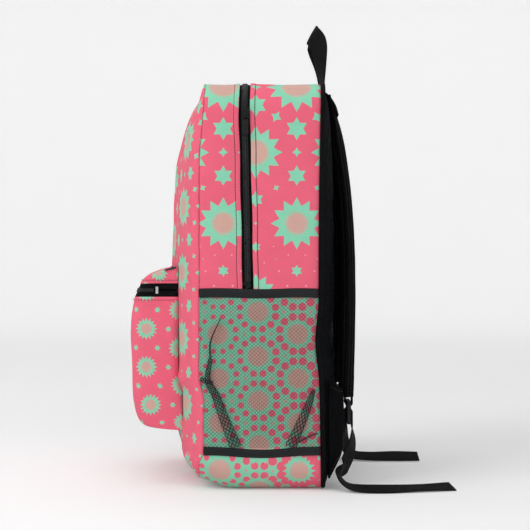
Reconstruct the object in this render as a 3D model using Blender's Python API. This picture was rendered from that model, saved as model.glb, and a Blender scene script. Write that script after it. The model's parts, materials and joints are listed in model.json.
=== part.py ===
"""School backpack with a printed body, black padded back, two shoulder straps and zipped pockets.

Frame: metres, +Z up. The origin is on the floor under the middle of the bag. The front of the bag
faces -Y, the padded back faces +Y, and the wearer's right-hand bottle pocket is at +X.
"""

import math

import bmesh
import bpy
import numpy as np

# Driving dimensions of the bag body.
BAG_HEIGHT = 0.465
HALF_WIDTH = 0.150
FRONT_SEAM = -0.070
BACK_SEAM = 0.066
TOP_RADIUS = 0.032
BOTTOM_RADIUS = 0.028
WALL = 0.0020
GAP = 0.0004
FRONT_RISE = 0.0115
FRONT_DOME = 0.0395
HEM_TURN = 0.0012
TOP_HEM_TURN = 0.0008

# Padded back: cover, foam and lining, and the band sewn across it under the straps.
BACK_PAD = 0.0036
BACK_DOME = 0.0150
BACK_COVER = 0.0014
FOAM_FACE = 0.0030
FOAM_INSET = 0.0100
BACK_LINING = 0.0010
YOKE_LOW = 0.4240
YOKE_HIGH = 0.4540
YOKE_HALF = 0.1000
YOKE_THICK = 0.0012

# Main zip: it runs up one side, over the top and down the other.
ZIP_Y = -0.017
ZIP_FOOT = 0.2320
COIL_GAP = 0.0012
COIL_WIDTH = 0.0026
COIL_PROUD = 0.0006
TAPE_HALF = 0.0060
TAPE_THICK = 0.0010
TAPE_RECESS = 0.0004
COIL_DEEP = 0.0006
FOLD_Z = 0.2620
SLIDER_Z = 0.4260
PULL_LENGTH = 0.0240
STOP_HALF = 0.0034
STOP_HEIGHT = 0.0022
STOP_OFF = 0.0009
STOP_THICK = 0.0009

# Blocks of a zip slider: reach out of the bag, across the zip and along the zip. The plate lies
# outside the tape, and the thin post passes between the coils to the inner plate.
SLIDER_PLATE = ((0.0010, 0.0026), (-0.0046, 0.0046), (-0.0060, 0.0060))
SLIDER_BLOCKS = {
    "post": ((-0.0050, 0.0012), (-0.0003, 0.0003), (0.0020, 0.0050)),
    "inner": ((-0.0048, -0.0034), (-0.0042, 0.0042), (-0.0058, 0.0058)),
    "leg_a": ((0.0024, 0.0056), (-0.0010, 0.0010), (-0.0046, -0.0032)),
    "leg_b": ((0.0024, 0.0056), (-0.0010, 0.0010), (0.0032, 0.0046)),
    "bridge": ((0.0050, 0.0062), (-0.0010, 0.0010), (-0.0046, 0.0046)),
}

# Blocks of a pull, the same way, from its crossbar under the bridge towards its free end.
PULL_BAR = ((0.0031, 0.0045), (-0.0032, 0.0032), (-0.0007, 0.0007))
PULL_BLOCKS = {
    "arm_a": ((0.0033, 0.0043), (-0.0030, -0.0016), (-0.0004, 0.0100)),
    "arm_b": ((0.0033, 0.0043), (0.0016, 0.0030), (-0.0004, 0.0100)),
}
PULL_TAB = ((0.0030, 0.0046), (-0.0034, 0.0034), 0.0080)

# Front pocket.
POCKET_HALF = 0.108
POCKET_FRONT = -0.1510
POCKET_CORNER = 0.012
POCKET_WALL = 0.0016
POCKET_BOW = 0.0028
POCKET_ZIP_LOW = 0.2186
POCKET_ZIP_HIGH = 0.2333
POCKET_ZIP_FRONT = -0.1470
POCKET_LEAN = 0.0065
POCKET_TAPE_BACK = 0.0014
POCKET_TAPE_WALL = 0.0011
POCKET_SLIDER_X = -0.0660
POCKET_SLIDER_OFF = 0.0003
POCKET_PULL_LENGTH = 0.0300
POCKET_COIL_DROP = 0.0010
POCKET_STOP_FRONT = -0.1215
POCKET_STOP_BACK = -0.1185
POCKET_STOP_HALF = 0.0040

# (height, y of the front) down the middle of the pocket, from its bottom seam to its top seam.
POCKET_SIDE_VIEW = [
    (0.0570, -0.1045), (0.0577, -0.1150), (0.0600, -0.1290), (0.0680, -0.1380), (0.0840, -0.1450),
    (0.1090, -0.1490), (0.1500, -0.1510), (0.1900, -0.1505), (POCKET_ZIP_LOW - GAP, -0.1470),
]
HOOD_SIDE_VIEW = [
    (POCKET_ZIP_HIGH + GAP, -0.1405), (0.2420, -0.1340), (0.2495, -0.1230), (0.2515, -0.1130),
    (0.2525, -0.1075),
]

# Bottle pockets.
NET_BOTTOM = 0.0490
HEM_HEIGHT = 0.0090
BAND_LOW = 0.2188
BAND_HIGH = 0.2284
NET_OFF = 0.0012
NET_BULGE = 0.0078
NET_THICK = 0.0008
NET_INSET = 0.0020
BAND_OFF = 0.0008
BAND_THICK = 0.0016

# Shoulder straps and their adjusters.
STRAP_TOP_X = 0.060
STRAP_END_X = 0.098
STRAP_HALF_WIDTH = 0.031
STRAP_END_HALF = 0.017
STRAP_THICK = 0.0110
STRAP_ROOT_THICK = 0.0036
WEBBING = 0.0240
WEBBING_THICK = 0.0014
LOCK_TOP = 0.0975
LOCK_BAR = 0.0040
LOCK_SLOT = 0.0070
LOCK_HALF = 0.0190
LOCK_SLOT_HALF = 0.0132
LOCK_DEEP = 0.0020
LOCK_Y = 0.1020
LOCK_LOW = LOCK_TOP - 3 * LOCK_BAR - 2 * LOCK_SLOT
LOOP_HEAD = 0.1068
LOOP_OFF = 0.0040
WING_SEAM_X = 0.1450
WING_SEAM_Y = 0.0770
WING_TIP_X = 0.1040
WING_TIP_Y = 0.0936
WING_THICK = 0.0018

# Carry handle.
HANDLE_HALF = 0.0310
HANDLE_HEIGHT = 0.0750
HANDLE_LIFT = 0.0016
HANDLE_Y = 0.0745
HANDLE_SWAY = 0.0085

# Inside the bag.
SLEEVE_HALF = 0.132
SLIP_HALF = 0.105
INNER_BACK = BACK_SEAM - 0.0006

SIDES = {"right": 1.0, "left": -1.0}

# (y, z) of each strap's centre line, from its root to its lower end.
STRAP_LINE = [(0.0800, 0.4545), (0.0905, 0.4120), (0.1005, 0.3420), (0.1047, 0.2450), (0.1020, 0.1085)]

# (y, z) of the adjuster webbing, from under the wing to just below the buckle.
ADJUSTER_LINE = [(0.0916, 0.1080), (0.0919, 0.0860), (0.0912, 0.0660), (0.0922, 0.0550), (0.0952, 0.0520),
                 (0.0976, 0.0570)]

# Centre line of each loose webbing tail, from below the buckle to its tip on the floor.
TAIL_PATHS = {
    "right": [(0.102, 0.1070, 0.0520), (0.110, 0.1030, 0.0380), (0.122, 0.0960, 0.0260),
              (0.137, 0.0905, 0.0175), (0.150, 0.1040, 0.0085), (0.154, 0.1350, 0.0068),
              (0.146, 0.1800, 0.0070), (0.136, 0.2180, 0.0068)],
    "left": [(-0.098, 0.1080, 0.0480), (-0.096, 0.1090, 0.0260), (-0.091, 0.1170, 0.0100),
             (-0.086, 0.1400, 0.0070), (-0.085, 0.1750, 0.0072), (-0.086, 0.2050, 0.0068)],
}


def smooth(value):
    """0 below 0, 1 above 1, and an eased ramp in between."""
    value = min(1.0, max(0.0, value))
    return value * value * (3.0 - 2.0 * value)


def rise(distance, length):
    """How far a padded sheet has swelled at this distance from its seam, from 0 to 1."""
    return 1.0 - math.exp(-max(0.0, distance) / length)


def swell(distance, reach):
    """As rise, but bulging out steeply from the seam and flat from the reach on."""
    share = min(1.0, max(0.0, distance / reach))
    return (1.0 - (1.0 - share) ** 2) ** 0.55


def smooth_path(points, steps):
    """A Catmull-Rom curve through the points, with this many spans between each two."""
    points = [np.array(p, float) for p in points]
    ends = [2 * points[0] - points[1], *points, 2 * points[-1] - points[-2]]
    found = []
    for a, b, c, d in zip(ends, ends[1:], ends[2:], ends[3:]):
        for step in range(steps):
            t = step / steps
            found.append(0.5 * (2 * b + (c - a) * t + (2 * a - 5 * b + 4 * c - d) * t * t
                                + (3 * b - a - 3 * c + d) * t ** 3))
    return [*found, points[-1]]


# ---------------------------------------------------------------- materials

def finish(name, colour, roughness, metallic=0.0):
    made = bpy.data.materials.new(name)
    made.use_nodes = True
    shader = made.node_tree.nodes["Principled BSDF"]
    shader.inputs["Base Color"].default_value = (*colour, 1.0)
    shader.inputs["Roughness"].default_value = roughness
    shader.inputs["Metallic"].default_value = metallic
    made.diffuse_color = (*colour, 1.0)
    return made


def make_finishes():
    return {
        "print": finish("star_print", (0.83, 0.16, 0.23), 0.85),
        "dense_print": finish("dense_star_print", (0.28, 0.62, 0.44), 0.85),
        "black": finish("black_fabric", (0.012, 0.012, 0.014), 0.8),
        "webbing": finish("black_webbing", (0.015, 0.015, 0.017), 0.65),
        "net": finish("black_net", (0.010, 0.010, 0.011), 0.7),
        "tape": finish("zip_tape", (0.013, 0.013, 0.015), 0.6),
        "slider": finish("black_metal", (0.02, 0.02, 0.02), 0.35, 1.0),
        "steel": finish("steel_stop", (0.45, 0.45, 0.46), 0.35, 1.0),
        "plastic": finish("black_plastic", (0.012, 0.012, 0.012), 0.4),
        "foam": finish("foam", (0.55, 0.55, 0.50), 0.95),
        "lining": finish("lining", (0.06, 0.06, 0.07), 0.8),
        "board": finish("base_board", (0.10, 0.10, 0.10), 0.6),
    }


# ---------------------------------------------------------------- mesh tools

def new_object(name, bm, look):
    """The bmesh as an object of this name, with its faces turned outwards and shaded smooth."""
    bm.normal_update()
    bmesh.ops.recalc_face_normals(bm, faces=bm.faces)
    mesh = bpy.data.meshes.new(name)
    bm.to_mesh(mesh)
    bm.free()
    mesh.materials.append(look)
    mesh.shade_smooth()
    mesh.set_sharp_from_angle(angle=math.radians(40))
    made = bpy.data.objects.new(name, mesh)
    bpy.context.scene.collection.objects.link(made)
    return made


def sheet(name, outer, inner, look):
    """A closed solid between two grids of points, which both have the same rows and columns."""
    outer, inner = np.asarray(outer, float), np.asarray(inner, float)
    rows, columns = outer.shape[:2]
    bm = bmesh.new()
    skins = [[[bm.verts.new(p) for p in row] for row in skin] for skin in (outer, inner)]
    for skin in skins:
        for i in range(rows - 1):
            for j in range(columns - 1):
                bm.faces.new((skin[i][j], skin[i][j + 1], skin[i + 1][j + 1], skin[i + 1][j]))
    edge = [(0, j) for j in range(columns)]
    edge += [(i, columns - 1) for i in range(1, rows)]
    edge += [(rows - 1, j) for j in range(columns - 2, -1, -1)]
    edge += [(i, 0) for i in range(rows - 2, 0, -1)]
    for (i, j), (k, m) in zip(edge, edge[1:] + edge[:1]):
        bm.faces.new((skins[0][i][j], skins[0][k][m], skins[1][k][m], skins[1][i][j]))
    return new_object(name, bm, look)


def normals(grid):
    """Unit normals of a grid of points, by differences along its rows and columns."""
    along = np.gradient(grid, axis=0)
    across = np.gradient(grid, axis=1)
    found = np.cross(along, across)
    return found / np.maximum(np.linalg.norm(found, axis=2, keepdims=True), 1e-12)


def thicken(grid, depth, towards, limit_y=None):
    """The grid moved by depth along its normals, to the side where the point towards lies.
    No point passes limit_y(z), where a neighbour's edge starts."""
    grid = np.asarray(grid, float)
    facing = normals(grid)
    side = np.sign(np.sum(facing * (np.asarray(towards, float) - grid)))
    moved = grid + facing * side * depth
    if limit_y is not None:
        for point in moved.reshape(-1, 3):
            point[1] = limit_y(point)
    return moved


def ribbon(name, centres, across, width, thick, look):
    """A flat strap along a path. across gives the direction of its width at each point."""
    centres = np.asarray(centres, float)
    across = np.asarray(across, float)
    across /= np.linalg.norm(across, axis=1, keepdims=True)
    facing = np.cross(np.gradient(centres, axis=0), across)
    facing /= np.linalg.norm(facing, axis=1, keepdims=True)
    width = np.broadcast_to(width, len(centres))[:, None]
    thick = np.broadcast_to(thick, len(centres))[:, None]
    edges = np.stack([centres - across * width / 2, centres + across * width / 2], axis=1)
    lift = (facing * thick / 2)[:, None, :]
    return sheet(name, edges + lift, edges - lift, look)


def box(name, low, high, look, place=None):
    """A box between two corners. place(a, b, c), when given, moves each corner into position."""
    bm = bmesh.new()
    bmesh.ops.create_cube(bm, size=1.0)
    for vert in bm.verts:
        corner = [low[k] + (vert.co[k] + 0.5) * (high[k] - low[k]) for k in range(3)]
        vert.co = place(*corner) if place else corner
    return new_object(name, bm, look)


def combine(target, operation, others):
    """A Boolean of the target with each helper, which is then left out of the render."""
    for other in others:
        modifier = target.modifiers.new(operation.lower(), "BOOLEAN")
        modifier.operation = operation
        modifier.object = other
        other.hide_render = True
        other.display_type = "WIRE"
    return target


# ---------------------------------------------------------------- shape of the bag

def front_seam(z):
    """Where the front panel joins the side strip. It leans back near the top and the base."""
    return FRONT_SEAM + 0.006 * smooth((z - 0.36) / 0.10) + 0.004 * smooth((0.08 - z) / 0.08)


def back_seam(z):
    """Where the padded back joins the side strip, bowed in at half height."""
    return BACK_SEAM + 0.003 * ((z - BAG_HEIGHT / 2) / (BAG_HEIGHT / 2)) ** 2


def base_rise(y):
    """Height of the bag's base above the floor: it curls up towards the front seam."""
    return FRONT_RISE * smooth((-0.028 - y) / 0.042)


def arch(inset, foot, steps=7):
    """(x, z) points from the right foot, over the top and down to the left foot."""
    half, top, radius = HALF_WIDTH - inset, BAG_HEIGHT - inset, TOP_RADIUS - inset
    turn = [math.pi / 2 * k / steps for k in range(steps + 1)]
    straight = np.linspace(foot, top - radius, 5)[:-1]
    right = [(half, z) for z in straight]
    right += [(half - radius + radius * math.cos(a), top - radius + radius * math.sin(a)) for a in turn]
    right += [((half - radius) / 2, top), (0.0, top)]
    return right + [(-x, z) for x, z in reversed(right[:-1])]


def trough(inset, low, heads, steps=6):
    """(x, z) points from the right-hand head, down under the base and up to the left head."""
    half, radius = HALF_WIDTH - inset, BOTTOM_RADIUS - inset
    low += inset
    turn = [math.pi / 2 * k / steps for k in range(steps + 1)]
    right = [(half, z) for z in np.linspace(heads, low + radius, 5)[:-1]]
    right += [(half - radius + radius * math.cos(a), low + radius - radius * math.sin(a)) for a in turn]
    right += [((half - radius) / 2, low), (0.0, low)]
    return right + [(-x, z) for x, z in reversed(right[:-1])]


def panel_half_width(z, low, inset=0.0):
    """Half width of the bag's outline at height z, for an outline whose base is at low."""
    half, top = HALF_WIDTH - inset, BAG_HEIGHT - inset
    low += inset
    for radius, depth in ((BOTTOM_RADIUS - inset, z - low), (TOP_RADIUS - inset, top - z)):
        if depth < radius:
            return half - radius + math.sqrt(max(0.0, radius ** 2 - (radius - max(0.0, depth)) ** 2))
    return half


def front_dome(x, z):
    """How far the stuffed front panel stands in front of its seam."""
    side = panel_half_width(z, FRONT_RISE) - abs(x)
    return (FRONT_DOME * swell(side, HALF_WIDTH) * rise(BAG_HEIGHT - z, 0.042)
            * swell(z - FRONT_RISE, 0.075))


def front_surface(x, z):
    return front_seam(z) - GAP - front_dome(x, z)


def back_dome(x, z):
    side = panel_half_width(z, 0.0) - abs(x)
    return BACK_DOME * rise(side, 0.016) * rise(BAG_HEIGHT - z, 0.075) * rise(z, 0.030)


def back_surface(x, z):
    return back_seam(z) + BACK_PAD + back_dome(x, z)


def across_points(count, power=1.7):
    """Shares from -1 to 1, closer together near both ends."""
    return [math.copysign(1 - (1 - abs(t)) ** power, t) for t in np.linspace(-1, 1, count)]


def panel_rows(low, high, count, base):
    """Heights of a panel's rows, closer together where its outline turns: at its base or its top."""
    share = np.linspace(0, 1, count)
    share = share ** 1.5 if base else 1 - (1 - share) ** 1.5
    return low + share * (high - low)


def panel_grid(heights, columns, low, inset, depth):
    """A grid over the bag's outline, with y given by depth(x, z)."""
    grid = []
    for z in heights:
        half = panel_half_width(z, low, inset)
        grid.append([(half * c, depth(half * c, z), z) for c in across_points(columns)])
    return np.array(grid)


# ---------------------------------------------------------------- body panels

def strip(name, path, columns, look):
    """A strip of wall around the bag. path(inset, y) gives (x, z) points, columns give y(z)."""
    skins = []
    for inset in (0.0, WALL):
        skins.append([[(x, y(z), z) for x, z in path(inset, y(BAG_HEIGHT / 2))] for y in columns])
    return sheet(name, *skins, look)


def make_gussets(looks):
    front_edge = ZIP_Y - TAPE_HALF - GAP
    rear_edge = ZIP_Y + TAPE_HALF + GAP
    strip("zip_gusset_front", lambda inset, y: arch(inset, FOLD_Z),
          [front_seam, lambda z: front_edge], looks["print"])
    strip("zip_gusset_rear", lambda inset, y: arch(inset, ZIP_FOOT),
          [lambda z: rear_edge, lambda z: 0.5 * (rear_edge + back_seam(z)), back_seam], looks["print"])
    head_y = ZIP_Y - COIL_GAP / 2

    def lower(inset, y):
        return trough(inset, base_rise(y), (FOLD_Z if y < head_y else ZIP_FOOT) - GAP)

    columns = [front_seam, lambda z: -0.052, lambda z: -0.034, lambda z: head_y - GAP,
               lambda z: head_y + GAP, lambda z: 0.030, back_seam]
    strip("side_and_base_gusset", lower, columns, looks["dense_print"])


def make_front_panels(looks):
    columns = 15

    def in_front(point):
        """Keeps the inner skin forward of the side strip's edge."""
        return min(point[1], front_seam(point[2]) - GAP)

    lower_rows = panel_rows(FRONT_RISE, FOLD_Z - GAP, 11, base=True)
    upper_rows = panel_rows(FOLD_Z, BAG_HEIGHT, 12, base=False)
    for name, rows, head_turn in (("front_panel_lower", lower_rows, 0.0),
                                  ("front_panel_upper", upper_rows, TOP_HEM_TURN)):
        outer = panel_grid(rows, columns, FRONT_RISE, 0.0, front_surface)
        inner = thicken(outer, WALL, (0.0, 0.5, 0.2), in_front)
        inner[0, :, 2] = outer[0, :, 2]
        inner[-1, :, 2] = outer[-1, :, 2] - head_turn
        inner[:, 0, 0] = outer[:, 0, 0] + HEM_TURN
        inner[:, -1, 0] = outer[:, -1, 0] - HEM_TURN
        sheet(name, outer, inner, looks["print"])


def make_back_panel(looks):
    heights = [0.5 * BAG_HEIGHT * (1 + share) for share in across_points(15, 1.6)]
    cover = panel_grid(heights, 13, 0.0, 0.0, back_surface)
    cover_inner = panel_grid(heights, 13, 0.0, 0.0, lambda x, z: back_surface(x, z) - BACK_COVER)
    sheet("back_panel_cover", cover, cover_inner, looks["black"])
    core = np.linspace(FOAM_INSET, BAG_HEIGHT - FOAM_INSET, 15)
    lining_back = BACK_LINING + GAP
    foam = panel_grid(core, 9, 0.0, FOAM_INSET, lambda x, z: back_surface(x, z) - FOAM_FACE)
    foam_inner = panel_grid(core, 9, 0.0, FOAM_INSET, lambda x, z: back_seam(z) + lining_back + GAP)
    sheet("back_panel_foam", foam, foam_inner, looks["foam"])
    lining = panel_grid(core, 7, 0.0, FOAM_INSET, lambda x, z: back_seam(z) + lining_back)
    lining_inner = panel_grid(core, 7, 0.0, FOAM_INSET, lambda x, z: back_seam(z) + GAP)
    sheet("back_panel_lining", lining, lining_inner, looks["lining"])


def make_yoke(looks):
    """The reinforcing band across the top of the back, under the strap roots."""
    heights = np.linspace(YOKE_LOW, YOKE_HIGH, 4)
    spots = np.linspace(-YOKE_HALF, YOKE_HALF, 11)
    inner = np.array([[(x, back_surface(x, z) + GAP, z) for x in spots] for z in heights])
    sheet("strap_yoke", inner + (0.0, YOKE_THICK, 0.0), inner, looks["black"])


# ---------------------------------------------------------------- main zip

def zip_tape(name, side, foot, looks):
    """One half of the main zip: a flat tape with its coil bead along the inner edge."""
    edge = ZIP_Y + side * TAPE_HALF
    coil_in = ZIP_Y + side * COIL_GAP / 2
    coil_out = coil_in + side * COIL_WIDTH
    step = side * 0.00015
    deep = TAPE_RECESS + TAPE_THICK
    profile_out = [(edge, TAPE_RECESS), (coil_out + step, TAPE_RECESS), (coil_out, -COIL_PROUD),
                   (coil_in, -COIL_PROUD)]
    profile_in = [(edge, deep), (coil_out + step, deep), (coil_out, deep + COIL_DEEP),
                  (coil_in, deep + COIL_DEEP)]
    skins = [[[(x, y, z) for x, z in arch(inset, foot)] for y, inset in profile]
             for profile in (profile_out, profile_in)]
    return sheet(name, *skins, looks["tape"])


def make_main_zip(looks):
    zip_tape("main_zip_tape_front", -1.0, FOLD_Z, looks)
    zip_tape("main_zip_tape_rear", 1.0, ZIP_FOOT, looks)
    for side, sign in SIDES.items():
        make_main_slider(side, sign, looks)


def block(name, spans, frame, looks):
    """A box given by its spans out of the bag, across the zip and along the zip."""
    low, high = zip(*spans)
    return box(name, low, high, looks["slider"], frame)


def slider_body(name, frame, looks):
    """A zip slider: outer and inner plates joined by a thin post, and a bridge for the pull.
    frame(out, across, along) places a point: out of the bag, across the zip, along the zip."""
    plate = block(name, SLIDER_PLATE, frame, looks)
    pieces = [block(f"{name}_{part}", spans, frame, looks) for part, spans in SLIDER_BLOCKS.items()]
    return combine(plate, "UNION", pieces)


def pull_tab(name, frame, length, looks):
    """A pull whose crossbar runs under the slider's bridge. frame as for slider_body, with
    along measured from the crossbar towards the free end."""
    bar = block(name, PULL_BAR, frame, looks)
    pieces = [block(f"{name}_{part}", spans, frame, looks) for part, spans in PULL_BLOCKS.items()]
    out, across, start = PULL_TAB
    pieces.append(block(f"{name}_tab", (out, across, (start, length)), frame, looks))
    return combine(bar, "UNION", pieces)


def make_main_slider(side, sign, looks):
    def frame(out, across, along):
        return (sign * (HALF_WIDTH + out), ZIP_Y + across, SLIDER_Z + along)

    slider_body(f"main_slider_{side}", frame, looks)
    pull_tab(f"main_pull_{side}", lambda out, across, along: frame(out, across, -along), PULL_LENGTH, looks)
    stop_z = ZIP_FOOT + 0.0006
    inside = sign * (HALF_WIDTH + STOP_OFF)
    box(f"main_zip_stop_{side}", (inside, ZIP_Y - STOP_HALF, stop_z),
        (inside + sign * STOP_THICK, ZIP_Y + STOP_HALF, stop_z + STOP_HEIGHT), looks["steel"])


# ---------------------------------------------------------------- front pocket

def pocket_seat(x, z):
    """The y at which the pocket's wall would lie flat on the front panel."""
    return front_surface(x, z) - GAP - 1.2 * POCKET_WALL


def pocket_profile(z, front, wall=0.0):
    """Points of the pocket's wall at height z, from its right seam round the front to the left.

    The full section is a box with rounded corners. Where the pocket stands only a little off the
    front panel its section is drawn back towards the panel's curve, and elsewhere it is moved back."""
    half, radius = POCKET_HALF - wall, POCKET_CORNER
    front += wall
    stand = min(1.0, max(0.0, (pocket_seat(0.0, z) - front) / (pocket_seat(0.0, z) - POCKET_FRONT)))
    square = smooth((stand - 0.4) / 0.3)
    turn = [math.pi / 2 * k / 4 for k in range(5)]
    full = [(half, 0.5 * (pocket_seat(half, z) + POCKET_FRONT + radius))]
    full += [(half - radius * (1 - math.cos(a)), POCKET_FRONT + radius * (1 - math.sin(a))) for a in turn]
    bowed = POCKET_FRONT - POCKET_BOW
    full += [(half * 0.72, bowed + 0.0003), (half * 0.36, bowed), (0.0, bowed)]
    right = [(half, front_surface(half, z) - GAP)]
    for x, y in full:
        seat = pocket_seat(x, z)
        drawn = seat + (y - seat) * stand
        moved = min(seat, y + front - POCKET_FRONT)
        right.append((x, drawn + (moved - drawn) * square))
    return right + [(-x, y) for x, y in reversed(right[:-1])]



def make_front_pocket(looks):
    centre = (0.0, -0.110, 0.16)
    for name, view in (("front_pocket_shell", POCKET_SIDE_VIEW), ("front_pocket_hood", HOOD_SIDE_VIEW)):
        outer = np.array([[(x, y, z) for x, y in pocket_profile(z, front)] for z, front in view])

        def behind(p):
            """Keeps the inner skin in front of the bag's front panel."""
            return min(p[1], front_surface(p[0], p[2]) - GAP)

        inner = thicken(outer, POCKET_WALL, centre, behind)
        cut = 0 if name.endswith("hood") else -1
        inner[cut, :, 2] = outer[cut, :, 2]
        sheet(name, outer, inner, looks["print"])
    make_pocket_zip(looks)


def pocket_tape(name, low, high, coil_at_top, looks):
    """Half of the pocket's zip, following the pocket wall round both corners."""
    if coil_at_top:
        levels = [low, high - COIL_WIDTH, high - COIL_WIDTH + 0.0002, high]
    else:
        levels = [low, low + COIL_WIDTH - 0.0002, low + COIL_WIDTH, high]
    proud = [0.0, 0.0, COIL_PROUD, COIL_PROUD] if coil_at_top else [COIL_PROUD, COIL_PROUD, 0.0, 0.0]
    slope = POCKET_LEAN / (POCKET_ZIP_HIGH - POCKET_ZIP_LOW)
    outer, inner = [], []
    for z, lift in zip(levels, proud):
        drop = POCKET_COIL_DROP if lift else 0.0
        front = POCKET_ZIP_FRONT + slope * (z - POCKET_ZIP_LOW)
        outer.append([(x, y, z) for x, y in pocket_profile(z, front - lift + TAPE_RECESS)])
        behind = pocket_profile(z, front + POCKET_TAPE_BACK, POCKET_TAPE_WALL)
        inner.append([(x, y, z - drop) for x, y in behind])
    return sheet(name, outer, inner, looks["tape"])


def make_pocket_zip(looks):
    middle = 0.5 * (POCKET_ZIP_LOW + POCKET_ZIP_HIGH)
    pocket_tape("pocket_zip_tape_lower", POCKET_ZIP_LOW, middle - COIL_GAP / 2, True, looks)
    pocket_tape("pocket_zip_tape_upper", middle + COIL_GAP / 2, POCKET_ZIP_HIGH, False, looks)
    lean = math.atan2(POCKET_LEAN, POCKET_ZIP_HIGH - POCKET_ZIP_LOW)
    face = POCKET_ZIP_FRONT + POCKET_LEAN / 2 - POCKET_BOW - POCKET_SLIDER_OFF

    def frame(out, across, along):
        """Square to the zip, which leans back towards its upper edge."""
        return (POCKET_SLIDER_X + along, face - out * math.cos(lean) + across * math.sin(lean),
                middle + across * math.cos(lean) + out * math.sin(lean))

    slider_body("pocket_slider", frame, looks)
    pull_tab("pocket_pull", frame, POCKET_PULL_LENGTH, looks)
    for side, sign in SIDES.items():
        outside = sign * (POCKET_HALF + STOP_OFF)
        box(f"pocket_zip_stop_{side}", (outside, POCKET_STOP_FRONT, middle - POCKET_STOP_HALF),
            (outside + sign * STOP_THICK, POCKET_STOP_BACK, middle + POCKET_STOP_HALF), looks["steel"])


# ---------------------------------------------------------------- bottle pockets

def net_off(y, z):
    """How far the net stands off the side of the bag."""
    front, back = front_seam(z) + NET_INSET, back_seam(z) - NET_INSET
    share = (y - front) / (back - front)
    up = min(1.0, max(0.0, (z - NET_BOTTOM) / (BAND_LOW - NET_BOTTOM)))
    return NET_OFF + NET_BULGE * math.sin(math.pi * share) * math.sin(math.pi * up) ** 0.7


def side_patch(name, sign, levels, columns, offset, thick, look):
    """A sheet on the side of the bag. offset(y, z) is its inner face's distance from the wall."""
    skins = []
    for lift in (thick, 0.0):
        skin = []
        for z in levels:
            spots = np.linspace(front_seam(z) + NET_INSET, back_seam(z) - NET_INSET, columns)
            skin.append([(sign * (HALF_WIDTH + offset(y, z) + lift), y, z) for y in spots])
        skins.append(skin)
    return sheet(name, *skins, look)


def make_bottle_pockets(looks):
    for side, sign in SIDES.items():
        side_patch(f"bottle_pocket_net_{side}", sign, np.linspace(NET_BOTTOM + GAP, BAND_LOW - GAP, 9), 9,
                   net_off, NET_THICK, looks["net"])
        side_patch(f"bottle_pocket_band_{side}", sign, (BAND_LOW, BAND_HIGH), 7,
                   lambda y, z: BAND_OFF, BAND_THICK, looks["webbing"])
        side_patch(f"bottle_pocket_hem_{side}", sign, (NET_BOTTOM - HEM_HEIGHT, NET_BOTTOM), 7,
                   lambda y, z: GAP, BAND_THICK, looks["webbing"])


# ---------------------------------------------------------------- shoulder straps

def strap_frame(sign, steps=5):
    """Centre points, width directions, half widths and thicknesses down a shoulder strap."""
    line = smooth_path(STRAP_LINE, steps)
    top, end = STRAP_LINE[0][1], STRAP_LINE[-1][1]
    centres, halves, thick = [], [], []
    for y, z in line:
        down = (top - z) / (top - end)
        x = STRAP_TOP_X + (STRAP_END_X - STRAP_TOP_X) * smooth(down)
        centres.append((sign * x, y, z))
        halves.append(STRAP_END_HALF + (STRAP_HALF_WIDTH - STRAP_END_HALF) * smooth((1 - down) / 0.22))
        thick.append(STRAP_ROOT_THICK + (STRAP_THICK - STRAP_ROOT_THICK) * smooth(down / 0.16))
    return np.array(centres), np.array(halves), np.array(thick)


def strap_layer(name, sign, low, high, inset, look):
    """One layer of a strap, between two shares of its thickness, with its edges set in."""
    centres, halves, thick = strap_frame(sign)
    facing = np.cross(np.gradient(centres, axis=0), (1.0, 0.0, 0.0))
    facing /= np.linalg.norm(facing, axis=1, keepdims=True)
    facing *= np.sign(facing[:, 1:2])
    shares = (-1.0, -0.6, 0.6, 1.0)
    skins = []
    for level in (high, low):
        skin = []
        for centre, half, deep, out in zip(centres, halves, thick, facing):
            row = []
            for share in shares:
                crown = 1.0 if abs(share) < 0.9 else 0.62
                row.append(centre + np.array([share * (half - inset), 0, 0]) + out * deep * level * crown)
            skin.append(row)
        skins.append(skin)
    return sheet(name, *skins, look)


def make_shoulder_strap(side, sign, looks):
    strap_layer(f"strap_face_{side}", sign, 0.32, 0.50, 0.0, looks["black"])
    strap_layer(f"strap_foam_{side}", sign, -0.33, 0.25, 0.0015, looks["foam"])
    strap_layer(f"strap_liner_{side}", sign, -0.50, -0.39, 0.0, looks["net"])


def make_ladder_lock(side, sign, looks):
    """A moulded buckle with three bars and two slots, held by a webbing loop."""
    x = sign * STRAP_END_X
    body = box(f"ladder_lock_{side}", (x - LOCK_HALF, LOCK_Y - LOCK_DEEP, LOCK_LOW),
               (x + LOCK_HALF, LOCK_Y + LOCK_DEEP, LOCK_TOP), looks["plastic"])
    cuts = []
    for k in range(2):
        high = LOCK_TOP - LOCK_BAR - k * (LOCK_BAR + LOCK_SLOT)
        low = high - LOCK_SLOT
        cuts.append(box(f"lock_slot_{side}_{k}", (x - LOCK_SLOT_HALF, LOCK_Y - 2 * LOOP_OFF, low),
                        (x + LOCK_SLOT_HALF, LOCK_Y + 2 * LOOP_OFF, high), looks["plastic"]))
    combine(body, "DIFFERENCE", cuts)
    webbing_turn(f"strap_end_loop_{side}", x, LOOP_HEAD, LOCK_TOP - LOCK_BAR / 2, -0.92, looks)
    middle = LOCK_TOP - 1.5 * LOCK_BAR - LOCK_SLOT
    webbing_turn(f"adjuster_wrap_{side}", x, LOCK_LOW - 0.0002, middle, 0.94, looks)


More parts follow.
